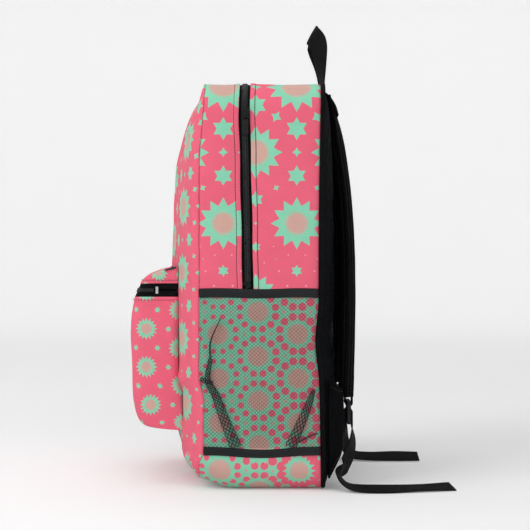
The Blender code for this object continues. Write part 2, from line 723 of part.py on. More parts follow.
def webbing_turn(name, x, ends_z, bar_z, reach, looks):
    """Webbing that goes round a bar at bar_z and has both its ends at ends_z. reach is how far it
    passes the bar's middle, as a share of LOOP_OFF: above it when positive, below when negative."""
    turn = [math.pi * k / 6 for k in range(7)]
    path = [(x, LOCK_Y - LOOP_OFF, ends_z)]
    path += [(x, LOCK_Y - LOOP_OFF * math.cos(a), bar_z + LOOP_OFF * math.sin(a) * reach) for a in turn]
    path += [(x, LOCK_Y + LOOP_OFF, ends_z)]
    return ribbon(name, path, [(1, 0, 0)] * len(path), WEBBING, WEBBING_THICK, looks["webbing"])


def make_wing(side, sign, looks):
    """The triangle of cloth sewn to the bag's lower corner, which holds the adjuster webbing."""
    rows = []
    for share in np.linspace(0, 1, 7):
        out = WING_SEAM_X + (WING_TIP_X - WING_SEAM_X) * share
        depth = WING_SEAM_Y + (WING_TIP_Y - WING_SEAM_Y) * math.sin(math.pi / 2 * min(1.0, share / 0.8))
        low = 0.0140 + 0.0660 * share + 0.0130 * math.sin(math.pi * share)
        high = 0.1250 - 0.0120 * share - 0.0040 * math.sin(math.pi * share)
        rows.append([(sign * out, depth, low + (high - low) * k) for k in np.linspace(0, 1, 5)])
    sheet(f"strap_wing_{side}", rows, thicken(rows, WING_THICK, (sign * 0.5, 0.6, 0.05)), looks["black"])


def make_adjuster(side, sign, looks):
    """The webbing from the wing up to the buckle, and the free tail that hangs from the buckle."""
    x = sign * STRAP_END_X
    foot = LOCK_LOW - 0.0008
    anchor = smooth_path([*[(x, y, z) for y, z in ADJUSTER_LINE], (x, LOCK_Y - LOOP_OFF, foot)], 3)
    ribbon(f"adjuster_webbing_{side}", anchor, [(1, 0, 0)] * len(anchor), WEBBING, WEBBING_THICK,
           looks["webbing"])
    line = smooth_path([(x, LOCK_Y + LOOP_OFF, foot), *TAIL_PATHS[side]], 3)
    across = []
    for point in line:
        laid = smooth((0.040 - point[2]) / 0.034)
        across.append((sign * (1 - 0.08 * laid), 0.0, -0.42 * laid))
    ribbon(f"strap_tail_{side}", line, across, WEBBING, WEBBING_THICK, looks["webbing"])


def make_handle(looks):
    """The carry loop: webbing that stands up from the back seam and turns as it rises."""
    centres, across = [], []
    for a in np.linspace(0, math.pi, 25):
        up = math.sin(a) ** 0.8
        out = np.array([-math.cos(a), 0.0, 0.6 * up + 0.02])
        out /= np.linalg.norm(out)
        centres.append((-HANDLE_HALF * math.cos(a), HANDLE_Y - HANDLE_SWAY * up,
                        BAG_HEIGHT + HANDLE_LIFT + HANDLE_HEIGHT * up))
        lean = math.radians(88 - 50 * smooth(up * 1.1 - 0.1))
        across.append(math.cos(lean) * np.array([0, 1, 0]) + math.sin(lean) * out)
    centres = np.array(centres)
    along = np.gradient(centres, axis=0)
    along /= np.linalg.norm(along, axis=1, keepdims=True)
    across = np.array(across)
    across -= along * np.sum(across * along, axis=1, keepdims=True)
    ribbon("carry_handle", centres, across, WEBBING, 0.0020, looks["webbing"])


# ---------------------------------------------------------------- inside the bag

def inner_pocket(name, half, low, high, front, back, thick, look):
    """A flat pocket sewn to the inside of the back: its sides and foot turn back to the lining."""
    rows = []
    for z, share in ((low, 0.08), (low + 0.004, 0.75), (low + 0.014, 1.0), (0.5 * (low + high), 1.0),
                     (high, 1.0)):
        y = back + (front - back) * share
        side = [(half, back), (half, 0.5 * (back + y)), (half - 0.004, y), (half * 0.5, y), (0.0, y)]
        rows.append([(x, yy, z) for x, yy in side + [(-x, yy) for x, yy in reversed(side[:-1])]])
    outer = np.array(rows)
    inner = thicken(outer, thick, (0.0, 0.5, 0.15), lambda p: min(p[1], back))
    inner[-1, :, 2] = outer[-1, :, 2]
    return sheet(name, outer, inner, look)


def make_inside(looks):
    inner_pocket("laptop_sleeve", SLEEVE_HALF, 0.020, 0.300, 0.0440, INNER_BACK, 0.0040, looks["lining"])
    inner_pocket("inner_slip_pocket", SLIP_HALF, 0.060, 0.200, 0.0340, 0.0432, 0.0012, looks["lining"])
    closure = smooth_path([(0, 0.0628, 0.3560), (0, 0.0590, 0.3400), (0, 0.0470, 0.3200), (0, 0.0425, 0.3040),
                           (0, 0.0421, 0.2760)], 3)
    ribbon("sleeve_closure_strap", closure, [(1, 0, 0)] * len(closure), WEBBING, 0.0012, looks["webbing"])
    box("base_board", (-0.116, -0.016, WALL + GAP), (0.116, 0.060, WALL + GAP + 0.0020), looks["board"])


def main():
    for old in list(bpy.data.objects):
        bpy.data.objects.remove(old)
    looks = make_finishes()
    make_gussets(looks)
    make_front_panels(looks)
    make_back_panel(looks)
    make_yoke(looks)
    make_main_zip(looks)
    make_front_pocket(looks)
    make_bottle_pockets(looks)
    for side, sign in SIDES.items():
        make_shoulder_strap(side, sign, looks)
        make_ladder_lock(side, sign, looks)
        make_wing(side, sign, looks)
        make_adjuster(side, sign, looks)
    make_handle(looks)
    make_inside(looks)


main()
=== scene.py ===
"""Looks of the school backpack: sewn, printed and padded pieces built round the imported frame."""

import json
import math

import bpy
import numpy as np
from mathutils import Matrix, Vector, noise


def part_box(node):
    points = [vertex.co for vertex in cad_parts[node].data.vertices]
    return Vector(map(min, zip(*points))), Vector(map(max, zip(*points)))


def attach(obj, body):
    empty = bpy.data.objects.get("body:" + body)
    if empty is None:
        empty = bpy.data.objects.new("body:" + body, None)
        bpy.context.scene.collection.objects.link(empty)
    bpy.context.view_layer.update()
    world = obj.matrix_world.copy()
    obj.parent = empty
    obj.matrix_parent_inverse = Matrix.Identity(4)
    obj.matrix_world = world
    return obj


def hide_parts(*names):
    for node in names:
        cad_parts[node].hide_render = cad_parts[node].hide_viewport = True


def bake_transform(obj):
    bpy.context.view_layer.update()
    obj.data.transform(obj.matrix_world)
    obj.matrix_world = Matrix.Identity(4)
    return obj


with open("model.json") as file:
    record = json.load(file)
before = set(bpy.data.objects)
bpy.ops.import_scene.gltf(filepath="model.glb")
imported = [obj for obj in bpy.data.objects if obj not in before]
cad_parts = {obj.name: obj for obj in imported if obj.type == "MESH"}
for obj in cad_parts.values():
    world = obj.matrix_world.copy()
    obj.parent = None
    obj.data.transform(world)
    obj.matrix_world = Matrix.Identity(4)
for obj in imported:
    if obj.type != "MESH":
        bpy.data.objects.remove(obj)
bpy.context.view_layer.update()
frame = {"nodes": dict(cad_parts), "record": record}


def joint_place(name):
    """A point on a joint's axis."""
    joints = frame["record"]["behaviour"]["joints"]
    return next(joint["pos_m"] for joint in joints if joint["name"] == name)


# Sizes read from the frame, in metres.
HALF_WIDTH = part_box("zip_gusset_rear")[1].x
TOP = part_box("zip_gusset_rear")[1].z - 0.0018
FRONT_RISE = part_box("front_panel_lower")[0].z
ZIP_Y = 0.5 * (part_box("main_zip_tape_front")[1].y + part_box("main_zip_tape_rear")[0].y)
ZIP_EDGE = 0.5 * (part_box("main_zip_tape_rear")[1].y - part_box("main_zip_tape_front")[0].y)
BAND_LOW, BAND_HIGH = (corner.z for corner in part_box("bottle_pocket_band_right"))
HEM_LOW, NET_BOTTOM = (corner.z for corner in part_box("bottle_pocket_hem_right"))
POCKET_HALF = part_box("front_pocket_shell")[1].x
POCKET_ZIP_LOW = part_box("pocket_zip_tape_lower")[0].z
POCKET_ZIP_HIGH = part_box("pocket_zip_tape_upper")[1].z
LOCK_LOW, LOCK_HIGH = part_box("ladder_lock_right")
FLAP_Y = joint_place("main_flap")[1]

# The bag's shape, as in the frame's solids.
FRONT_SEAM = -0.070
BACK_SEAM = 0.066
TOP_RADIUS = 0.032
BOTTOM_RADIUS = 0.028
FRONT_DOME = 0.0369
BACK_DOME = 0.0150
POCKET_CORNER = 0.014
POCKET_BOW = 0.0028
POCKET_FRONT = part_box("front_pocket_shell")[0].y + POCKET_BOW
PRINT_FOOT = BAND_LOW + 0.004
CLOTH = 0.0012
WEBBING = 0.0014
WEBBING_WIDE = 0.024

# The opening flap's name and two points between the bag and it, given to place as a body; place doesn't bend
# cloth by them.
FOLD = ("main_flap", (0.0, FLAP_Y, 0.2545), (0.0, FLAP_Y, 0.3000))


def srgb(r, g, b):
    """Linear colour from 8-bit display values."""
    found = []
    for value in (r, g, b):
        value /= 255.0
        found.append(value / 12.92 if value <= 0.04045 else ((value + 0.055) / 1.055) ** 2.4)
    return (*found, 1.0)


def smooth(value):
    value = np.clip(value, 0.0, 1.0)
    return value * value * (3.0 - 2.0 * value)


def rise(distance, length):
    return 1.0 - np.exp(-np.maximum(0.0, distance) / length)


def swell(distance, reach):
    share = np.clip(distance / reach, 0.0, 1.0)
    return (1.0 - (1.0 - share) ** 2) ** 0.55


def unit(vectors):
    return vectors / np.linalg.norm(vectors, axis=-1, keepdims=True)


def together(*parts):
    """Coordinates as points, with each part spread over the shape that they share."""
    return np.stack(np.broadcast_arrays(*parts), axis=-1)


def run_along(path):
    """The distance along a path at each of its points."""
    return np.concatenate([[0.0], np.cumsum(np.linalg.norm(np.diff(path, axis=0), axis=1))])


def sample(at, run, rows):
    """The row found at a distance along a path."""
    return np.array([np.interp(at, run, column) for column in rows.T])


def catmull(points, steps):
    """A smooth curve through the points, as an array, with this many spans between each two."""
    points = [np.array(p, float) for p in points]
    ends = [2 * points[0] - points[1], *points, 2 * points[-1] - points[-2]]
    found = []
    for a, b, c, d in zip(ends, ends[1:], ends[2:], ends[3:]):
        for t in np.arange(steps) / steps:
            found.append(0.5 * (2 * b + (c - a) * t + (2 * a - 5 * b + 4 * c - d) * t * t
                                + (3 * b - a - 3 * c + d) * t ** 3))
    return np.array([*found, points[-1]])


def ripple(points, scale, seed):
    """Smooth noise from -1 to 1 at each point, with bumps about scale metres across."""
    shift = Vector((seed * 7.3, seed * 3.1, seed * 5.7))
    found = [noise.noise(Vector(p / scale) + shift) for p in points.reshape(-1, 3)]
    return np.array(found).reshape(points.shape[:-1])


# ---------------------------------------------------------------- shader nodes

def math_node(operation):
    return lambda value, *others: value.math(operation, *others)


class Value:
    """A number worked out by nodes. Arithmetic on it adds nodes, so that a print reads as a formula."""

    def __init__(self, graph, socket):
        self.graph, self.socket = graph, socket

    def math(self, operation, *others, clamp=False):
        made = self.graph.node("Math", operation=operation, use_clamp=clamp)
        for socket, value in zip(made.inputs, (self, *others)):
            self.graph.feed(socket, value)
        return Value(self.graph, made.outputs[0])

    __add__ = __radd__ = math_node("ADD")
    __sub__ = math_node("SUBTRACT")
    __mul__ = __rmul__ = math_node("MULTIPLY")
    __truediv__ = math_node("DIVIDE")
    __abs__ = math_node("ABSOLUTE")
    sine = math_node("SINE")
    cosine = math_node("COSINE")
    root = math_node("SQRT")
    smaller = math_node("MINIMUM")
    larger = math_node("MAXIMUM")
    below = math_node("LESS_THAN")
    zigzag = math_node("PINGPONG")

    def __rsub__(self, other):
        return self * -1.0 + other

    def wrap(self, half):
        """The value brought back between -half and half."""
        return self.math("WRAP", half, -half)

    def edge(self, soft):
        """1 where the value is positive and 0 where it is negative, over this soft a step."""
        return self.math("MULTIPLY_ADD", 1.0 / soft, 0.5, clamp=True)


class Graph:
    """A new material, with short calls for the nodes behind its surface."""

    def __init__(self, name, roughness, metallic=0.0):
        self.material = bpy.data.materials.new(name)
        self.material.use_nodes = True
        self.tree = self.material.node_tree
        self.surface("Roughness", roughness)
        self.surface("Metallic", metallic)

    def surface(self, socket, value):
        self.feed(self.tree.nodes["Principled BSDF"].inputs[socket], value)

    def node(self, kind, **settings):
        made = self.tree.nodes.new("ShaderNode" + kind)
        for key, value in settings.items():
            setattr(made, key, value)
        return made

    def feed(self, socket, value):
        if isinstance(value, Value):
            value = value.socket
        if isinstance(value, bpy.types.NodeSocket):
            self.tree.links.new(value, socket)
        elif value is not None:
            socket.default_value = value

    def feed_all(self, made, **values):
        for name, value in values.items():
            self.feed(made.inputs[name.title()], value)

    def mix(self, share, a, b, kind="MIX"):
        made = self.node("Mix", data_type="RGBA", blend_type=kind)
        for index, value in ((0, share), (6, a), (7, b)):
            self.feed(made.inputs[index], value)
        return made.outputs[2]

    def noise(self, vector, scale, detail=3.0, rough=0.5):
        made = self.node("TexNoise")
        self.feed_all(made, vector=vector, scale=scale, detail=detail, roughness=rough)
        return Value(self, made.outputs["Fac"])

    def split(self, vector):
        made = self.node("SeparateXYZ")
        self.feed(made.inputs[0], vector)
        return [Value(self, socket) for socket in made.outputs]

    def place(self):
        """Coordinates on the object, in metres."""
        return self.node("TexCoord").outputs["Object"]

    def bump(self, height, distance, strength, normal=None):
        made = self.node("Bump")
        self.feed_all(made, height=height, distance=distance, strength=strength, normal=normal)
        return made.outputs[0]


def cloth_coordinates(graph):
    """(u, v, 0) of the cloth in metres, and u and v apart."""
    uv = graph.node("UVMap", uv_map="cloth").outputs[0]
    return uv, *graph.split(uv)[:2]


def weave(u, v, pitch):
    """Height of a plain weave, from 0 to 1."""
    turn = 2 * math.pi / pitch
    return (u * turn).sine() * (v * turn).sine() * 0.5 + 0.5


def ramp(value, stops):
    """A size that changes with value: straight lines between the stops, level beyond them."""
    size = stops[0][1]
    for (low, first), (high, second) in zip(stops, stops[1:]):
        step = value.graph.node("MapRange")
        for socket, given in zip(step.inputs, (value, low, high, 0.0, second - first)):
            value.graph.feed(socket, given)
        size = Value(value.graph, step.outputs[0]) + size
    return size


def star_mask(x, y, points, outer, valley, soft=0.0005):
    """1 inside a star about the origin. outer is its tip radius and valley the share at its notches."""
    reach = (x * x + y * y).root()
    half = math.pi / points
    fold = abs(y.math("ARCTAN2", x).wrap(half))
    bx, by = valley * math.cos(half), valley * math.sin(half)
    side = math.hypot(1 - bx, by)
    inside = (outer - reach * fold.cosine()) * (by / side) - reach * fold.sine() * ((1 - bx) / side)
    return inside.edge(soft)


def hexagon_sites(u, v, spacing, origin, upright):
    """Offset to the nearest point of a triangular lattice, and that offset folded two ways: onto
    the line to a neighbour and onto the line to the middle of three neighbours."""
    x, y = u - origin[0], v - origin[1]
    if upright:
        x, y = y, x
    row = spacing * math.sqrt(3)
    near = []
    for shift in (0.0, 0.5):
        wx, wy = (x + shift * spacing).wrap(spacing / 2), (y + shift * row).wrap(row / 2)
        near.append((wx, wy, wx * wx + wy * wy))
    (ax, ay, a_size), (bx, by, b_size) = near
    pick = a_size.below(b_size)
    qx, qy = pick * (ax - bx) + bx, pick * (ay - by) + by
    reach = a_size.smaller(b_size).root()
    turn = qy.math("ARCTAN2", qx)
    folds = []
    for offset in (0.0, math.pi / 6):
        angle = (turn - offset).wrap(math.pi / 6)
        folds.append((reach * angle.cosine(), reach * angle.sine(), angle))
    return (qx, qy), reach, folds


def petal_mask(reach, folds, spacing, radius):
    """Twelve round dots in a ring about each star, between the directions of its neighbours."""
    twelfth = math.pi / 12
    angle = (folds[0][2] - twelfth).wrap(twelfth)
    x, y = reach * angle.cosine() - 0.40 * spacing, reach * angle.sine()
    return (radius - (x * x + y * y).root()).edge(0.0006)


def wobble(graph, uv):
    """Cloth coordinates shifted by less than a thread, so that printed edges aren't ruled lines."""
    shift = graph.node("VectorMath", operation="MULTIPLY_ADD")
    fine = graph.noise(uv, 900.0, 1.0).socket.node.outputs["Color"]
    for socket, value in zip(shift.inputs, (fine, (0.0006, 0.0006, 0.0), uv)):
        graph.feed(socket, value)
    return graph.split(shift.outputs[0])[:2]


def finish_cloth(graph, colour, uv, u, v, pitch=0.0010, sheen=0.10, gloss=0.12):
    """Adds painted shade in the weave's hollows, uneven dye and thread tone, and a woven bump to a cloth
    colour.
    """
    woven = weave(u, v, pitch)
    slub = graph.node("Mapping")
    graph.feed_all(slub, vector=uv, scale=(60.0, 900.0, 1.0))
    thread = graph.noise(slub.outputs[0], 1.0, 2.0)
    # Painted shade: the colour is darker in the weave's hollows than on its crests; the patch and slub noise
    # are uneven dye and thread tone.
    weave_shade_and_dye = (woven * 0.10 + 0.93) * (graph.noise(uv, 45.0, 4.0, 0.6) * 0.12 + 0.94) * (thread * 0.10 + 0.95)
    tone = graph.node("CombineColor")
    for socket in tone.inputs:
        graph.feed(socket, weave_shade_and_dye)
    graph.surface("Base Color", graph.mix(1.0, colour, tone.outputs[0], "MULTIPLY"))
    normal = graph.bump(thread * 0.4 + woven, 0.00012, 0.8)
    graph.surface("Normal", graph.bump(graph.noise(uv, 140.0), 0.0006, 0.35, normal))
    graph.surface("Sheen Weight", sheen)
    graph.surface("Sheen Roughness", 0.5)
    graph.surface("Specular IOR Level", gloss)
    return graph.material


# ---------------------------------------------------------------- materials

PINK = srgb(241, 108, 132)
PINK_DEEP = srgb(232, 98, 122)
PINK_PALE = srgb(250, 158, 180)
GREEN = srgb(138, 213, 180)
BEIGE = srgb(211, 168, 156)
BLACK = srgb(8, 9, 11)
BLACK_LIGHT = srgb(15, 16, 18)


def star_print(name, spacing, origin, upright, star, disc, corner, mid=None, dots=None, points=12):
    """Pink cloth printed with green starbursts that hold a beige disc, and smaller stars between.

    The sizes are lists of (height up the cloth, size), because the print grows towards the top."""
    graph = Graph(name, 0.85)
    uv, u, v = cloth_coordinates(graph)
    pu, pv = wobble(graph, uv)
    (qx, qy), reach, (straight, slanted) = hexagon_sites(pu, pv, spacing, origin, upright)
    centre = pv - (qx if upright else qy)
    green = star_mask(qx, qy, points, ramp(centre, star), 0.69)
    corner_x = slanted[0] - spacing / math.sqrt(3)
    green = green.larger(star_mask(corner_x, slanted[1], 6, ramp(pv, corner), 0.58))
    if mid:
        green = green.larger(star_mask(straight[0] - spacing / 2, straight[1], 4, ramp(pv, mid), 0.50))
    ground = graph.mix(graph.noise(uv, 12.0, 2.0), PINK, PINK_DEEP)
    if dots:
        dot = petal_mask(reach, (straight, slanted), spacing, ramp(pv, dots))
        ground = graph.mix(dot, ground, PINK_PALE)
    inner = graph.noise(uv, 500.0, 2.0) * (0.07 * spacing) - 0.035 * spacing + ramp(centre, disc)
    colour = graph.mix((inner - reach).edge(0.05 * spacing), graph.mix(green, ground, GREEN), BEIGE)
    return finish_cloth(graph, colour, uv, u, v)


def dense_print(name, spacing, origin, stretch):
    """Green cloth with beige discs, each in a ring of pink petals. The petals grow from the bag's
    front to its back and under its base, until they meet and leave a star between them."""
    graph = Graph(name, 0.85)
    uv, u, v = cloth_coordinates(graph)
    pu, pv = wobble(graph, uv)
    down = ramp(pv, [(0.0, 1.0), (0.020, 1.0), (0.190, 0.0)])
    grown = ramp(pv, [(0.0, 1.0), (0.034, 1.0), (0.046, 0.0)])
    wide = (pu - (down * 0.0021 + origin[0])) / stretch
    (qx, qy), reach, folds = hexagon_sites(wide, grown * 0.0040 + pv, spacing, (0.0, origin[1]), True)
    size = (grown * ramp(pu, [(0.0, 0.010 * spacing), (0.050, 0.045 * spacing)])
            + ramp(pu, [(-0.060, 0.055 * spacing), (0.060, 0.096 * spacing)]))
    burst_size = grown * ramp(pu, [(-0.040, 0.385 * spacing), (0.040, 0.365 * spacing)])
    burst = star_mask(qx, qy, 16, burst_size, 0.68)
    petal = petal_mask(reach, folds, spacing, size) * (1.0 - burst)
    tip = star_mask(folds[1][0] - spacing / math.sqrt(3), folds[1][1], 6, 0.05 * spacing, 0.6, 0.0006)
    colour = graph.mix(petal, GREEN, graph.mix(graph.noise(uv, 30.0), PINK, PINK_DEEP))
    colour = graph.mix(tip, colour, BEIGE)
    inner = grown * ramp(pu, [(-0.040, 0.020 * spacing), (0.040, -0.020 * spacing)]) + 0.225 * spacing
    inner = inner + (graph.noise(uv, 600.0, 2.0) * (0.05 * spacing) - 0.025 * spacing)
    colour = graph.mix((inner - reach).edge(0.05 * spacing), colour, BEIGE)
    return finish_cloth(graph, colour, uv, u, v)


def plain_cloth(name, dark, light):
    graph = Graph(name, 0.85)
    uv, u, v = cloth_coordinates(graph)
    colour = graph.mix(graph.noise(uv, 25.0, 4.0), dark, light)
    return finish_cloth(graph, colour, uv, u, v, 0.0011, 0.0, 0.04)


def webbing_cloth(name, dark, light, rib=0.0022):
    """Tape with ribs along its length and a fine chevron of threads across them. The ribs' crests are painted
    lighter, a painted highlight.
    """
    graph = Graph(name, 0.6)
    uv, u, v = cloth_coordinates(graph)
    ribs = abs((u * (math.pi / rib)).sine())
    slant = ((v + u.zigzag(rib / 2)) * (2 * math.pi / 0.0012)).sine()
    colour = graph.mix(graph.noise(uv, 30.0, 4.0), dark, light)
    # Painted highlight: the colour is mixed towards the light colour on the crests of the ribs.
    graph.surface("Base Color", graph.mix(ribs * 0.5, colour, light))
    graph.surface("Normal", graph.bump(slant * 0.25 + ribs, 0.00035, 0.8))
    graph.surface("Specular IOR Level", 0.07)
    return graph.material


def spacer_mesh(name, dark, light):
    """Black padded mesh: rows of small round holes in a knitted face, with painted shade in the holes and in
    the knit's hollows.
    """
    graph = Graph(name, 0.75)
    _, u, v = cloth_coordinates(graph)
    reach = hexagon_sites(u, v, 0.0030, (0.0, 0.0), False)[1]
    hole = (0.0009 - reach).edge(0.0006)
    knit = weave(u, v, 0.0010)
    # Painted shade: the knit's hollows are darker than its crests, and the holes are filled with near black.
    colour = graph.mix(knit, dark, light)
    graph.surface("Base Color", graph.mix(hole * 0.9, colour, (0.001, 0.001, 0.001, 1.0)))
    graph.surface("Normal", graph.bump(knit * 0.2 - hole, 0.0006, 0.9))
    graph.surface("Specular IOR Level", 0.05)
    return graph.material


def brighter(colour, times):
    return (*(min(1.0, channel * times + 0.01) for channel in colour[:3]), 1.0)


def hard_material(name, base, roughness, metallic, grain, depth, gloss=0.5):
    """Moulded plastic or plated metal with a fine surface grain and rubbed patches."""
    graph = Graph(name, roughness, metallic)
    spot = graph.place()
    wear = graph.noise(spot, 160.0, 4.0, 0.6)
    graph.surface("Base Color", graph.mix(wear, base, brighter(base, 1.5)))
    graph.surface("Roughness", wear * 0.25 + (roughness - 0.1))
    graph.surface("Normal", graph.bump(graph.noise(spot, grain, 2.0), depth, 0.5))
    graph.surface("Specular IOR Level", gloss)
    return graph.material


def thread_material(name, colour):
    graph = Graph(name, 0.6)
    spot = graph.place()
    graph.surface("Base Color", graph.mix(graph.noise(spot, 1500.0), colour, brighter(colour, 1.6)))
    graph.surface("Normal", graph.bump(graph.noise(spot, 2500.0), 0.0001, 0.6))
    return graph.material


SIDE_PRINT = {
    "star": [(0.220, 0.0230), (0.302, 0.0292), (0.382, 0.0300), (0.461, 0.0345)],
    "disc": [(0.222, 0.0080), (0.302, 0.0121), (0.382, 0.0138), (0.461, 0.0166)],
    "corner": [(0.248, 0.0068), (0.272, 0.0057), (0.327, 0.0088), (0.355, 0.0115), (0.408, 0.0130)],
    "mid": [(0.270, 0.0008), (0.346, 0.0040), (0.382, 0.0055), (0.420, 0.0066)],
    "dots": [(0.235, 0.0012), (0.290, 0.0006), (0.310, -0.0006)],
}
PANEL_PRINT = {
    "star": [(0.05, 0.0212), (0.46, 0.0250)],
    "disc": [(0.05, 0.0090), (0.46, 0.0120)],
    "corner": [(0.05, 0.0078), (0.46, 0.0100)],
    "mid": [(0.05, 0.0026), (0.25, 0.0030), (0.46, 0.0050)],
}
POCKET_PRINT = {"star": [(0.1, 0.0130)], "disc": [(0.1, 0.0062)], "corner": [(0.1, 0.0037)], "points": 16}

LOOKS = {
    "rear": star_print("print_side_rear", 0.0922, (0.0410, 0.3021), False, **SIDE_PRINT),
    "front_strip": star_print("print_side_front", 0.0922, (-0.0416, 0.3021), False, **SIDE_PRINT),
    "panel": star_print("print_front_panel", 0.0753, (0.1220, 0.2465), True, **PANEL_PRINT),
    "pocket": star_print("print_pocket", 0.0442, (0.0373, 0.1376), True, **POCKET_PRINT),
    "hood": star_print("print_pocket_hood", 0.0442, (0.0255, 0.2445), True, **POCKET_PRINT),
    "dense": dense_print("print_base", 0.0500, (-0.0030, 0.1525), 1.035),
    "back": plain_cloth("back_cloth", BLACK, BLACK_LIGHT),
    "spacer": spacer_mesh("spacer_mesh", srgb(12, 13, 15), srgb(26, 28, 31)),
    "webbing": webbing_cloth("webbing", srgb(9, 9, 10), srgb(20, 20, 21)),
    "elastic": webbing_cloth("elastic_band", srgb(25, 26, 27), srgb(46, 48, 49), 0.0016),
    "tape": webbing_cloth("zip_tape", srgb(7, 8, 9), srgb(14, 15, 17), 0.0012),
    "binding": webbing_cloth("binding_tape", srgb(9, 9, 11), srgb(21, 21, 23), 0.0014),
    "lining": plain_cloth("lining_cloth", srgb(52, 54, 60), srgb(70, 72, 78)),
    "net": thread_material("net_thread", srgb(18, 20, 22)),
    "thread": thread_material("dark_thread", srgb(44, 18, 24)),
    "black_thread": thread_material("black_thread", srgb(26, 26, 28)),
    "coil": hard_material("nylon_coil", srgb(26, 28, 30), 0.28, 0.0, 900.0, 0.00005),
    "metal": hard_material("black_metal", srgb(12, 12, 13), 0.45, 0.0, 700.0, 0.00004, 0.15),
    "steel": hard_material("steel", srgb(165, 166, 168), 0.45, 0.6, 700.0, 0.00004),
    "plastic": hard_material("moulded_plastic", srgb(12, 12, 13), 0.45, 0.0, 500.0, 0.0001, 0.2),
    "board": hard_material("base_board", srgb(70, 70, 72), 0.6, 0.0, 200.0, 0.0003),
}

SIDES = (("right", 1.0), ("left", -1.0))


# ---------------------------------------------------------------- meshes

def add_object(name, verts, faces, looks, uv=None, flip=False):
    """A smooth mesh object. uv holds a coordinate for each vertex, in metres of cloth."""
    mesh = bpy.data.meshes.new(name)
    if flip:
        faces = [tuple(reversed(f)) for f in faces]
    mesh.from_pydata([tuple(map(float, v)) for v in verts], [], faces)
    for look in looks:
        mesh.materials.append(look)
    layer = mesh.uv_layers.new(name="cloth")
    if uv is not None:
        uv = np.asarray(uv, float).reshape(-1, 2)
        loops = np.empty(len(mesh.loops), np.int32)
        mesh.loops.foreach_get("vertex_index", loops)
        layer.data.foreach_set("uv", uv[loops].astype(np.float32).ravel())
    mesh.shade_smooth()
    made = bpy.data.objects.new(name, mesh)
    bpy.context.scene.collection.objects.link(made)
    return made


def grid_faces(rows, columns, closed=False):
    """Squares between the points of a grid. In a closed grid the last column joins the first."""
    faces = []
    for i in range(rows - 1):
        for j in range(columns if closed else columns - 1):
            near, far = i * columns + j, i * columns + (j + 1) % columns
            faces.append((near, far, far + columns, near + columns))
    return faces


def end_caps(rings, sides):
    """The two faces that close a swept section."""
    return [tuple(reversed(range(sides))), tuple(range((rings - 1) * sides, rings * sides))]


def arc_uv(grid, row=0, column=0, origin=(0.0, 0.0)):
    """Distances along the cloth from one of its points: u along the rows, v along the columns."""
    du = np.linalg.norm(np.diff(grid, axis=1), axis=2)
    dv = np.linalg.norm(np.diff(grid, axis=0), axis=2)
    u = np.concatenate([np.zeros((len(grid), 1)), np.cumsum(du, axis=1)], axis=1)
    v = np.concatenate([np.zeros((1, grid.shape[1])), np.cumsum(dv, axis=0)], axis=0)
    return together(u - u[:, column:column + 1] + origin[0], v - v[row:row + 1] + origin[1])


CLOTH_SETTINGS = {
    "quality": 5,
    "mass": 0.2,
    "tension_stiffness": 40.0,
    "compression_stiffness": 30.0,
    "shear_stiffness": 10.0,
    "bending_stiffness": 0.4,
    "vertex_group_mass": "sewn",
    "use_pressure": True,
}


def simulate(made, held, pressure, slack, cap):
    """Lets a sheet that is held at its seams fill out, as stuffed cloth with a little slack does.

    held marks the sewn points, slack is the share of extra cloth and cap the furthest move."""
    scene = bpy.context.scene
    group = made.vertex_groups.new(name="sewn")
    group.add([int(k) for k in np.flatnonzero(held)], 1.0, "REPLACE")
    modifier = made.modifiers.new("filling", "CLOTH")
    for setting, value in CLOTH_SETTINGS.items():
        setattr(modifier.settings, setting, value)
    modifier.settings.uniform_pressure_force = pressure
    modifier.settings.shrink_min = -slack
    modifier.settings.effector_weights.gravity = 0.0
    modifier.collision_settings.use_collision = False
    before = np.array([v.co for v in made.data.vertices])
    for step in range(1, 21):
        scene.frame_set(step)
    found = made.evaluated_get(bpy.context.evaluated_depsgraph_get()).to_mesh()
    move = np.array([v.co for v in found.vertices]) - before
    size = np.linalg.norm(move, axis=1, keepdims=True)
    move *= cap * np.tanh(size / cap) / np.maximum(size, 1e-9)
    made.modifiers.remove(modifier)
    made.vertex_groups.remove(group)
    made.data.vertices.foreach_set("co", (before + move).astype(np.float32).ravel())
    made.data.update()
    scene.frame_set(1)


def cloth(name, grid, uv, look, inside, thick=CLOTH, inner="lining", fill=None):
    """A sewn sheet whose outer face is the grid and looks away from the point inside.

    fill holds the arguments of simulate: which points are held, pressure, slack and cap."""
    facing = np.cross(np.gradient(grid, axis=1), np.gradient(grid, axis=0))
    flip = np.sum(facing * (grid - np.array(inside))) < 0
    looks = [LOOKS[look], LOOKS[inner]]
    made = add_object(name, grid.reshape(-1, 3), grid_faces(*grid.shape[:2]), looks, uv, flip)
    if fill is not None:
        simulate(made, fill[0].ravel(), *fill[1:])
    solid = made.modifiers.new("thickness", "SOLIDIFY")
    solid.thickness = thick
    solid.offset = -1.0
    solid.material_offset = 1
    return made


class Bits:
    """Many small closed shapes gathered in one mesh."""

    def __init__(self):
        self.verts, self.faces = [], []

    def add(self, verts, faces):
        first = len(self.verts)
        self.verts.extend(verts)
        self.faces.extend(tuple(first + k for k in face) for face in faces)

    def make(self, name, look):
        return add_object(name, self.verts, self.faces, [LOOKS[look]])


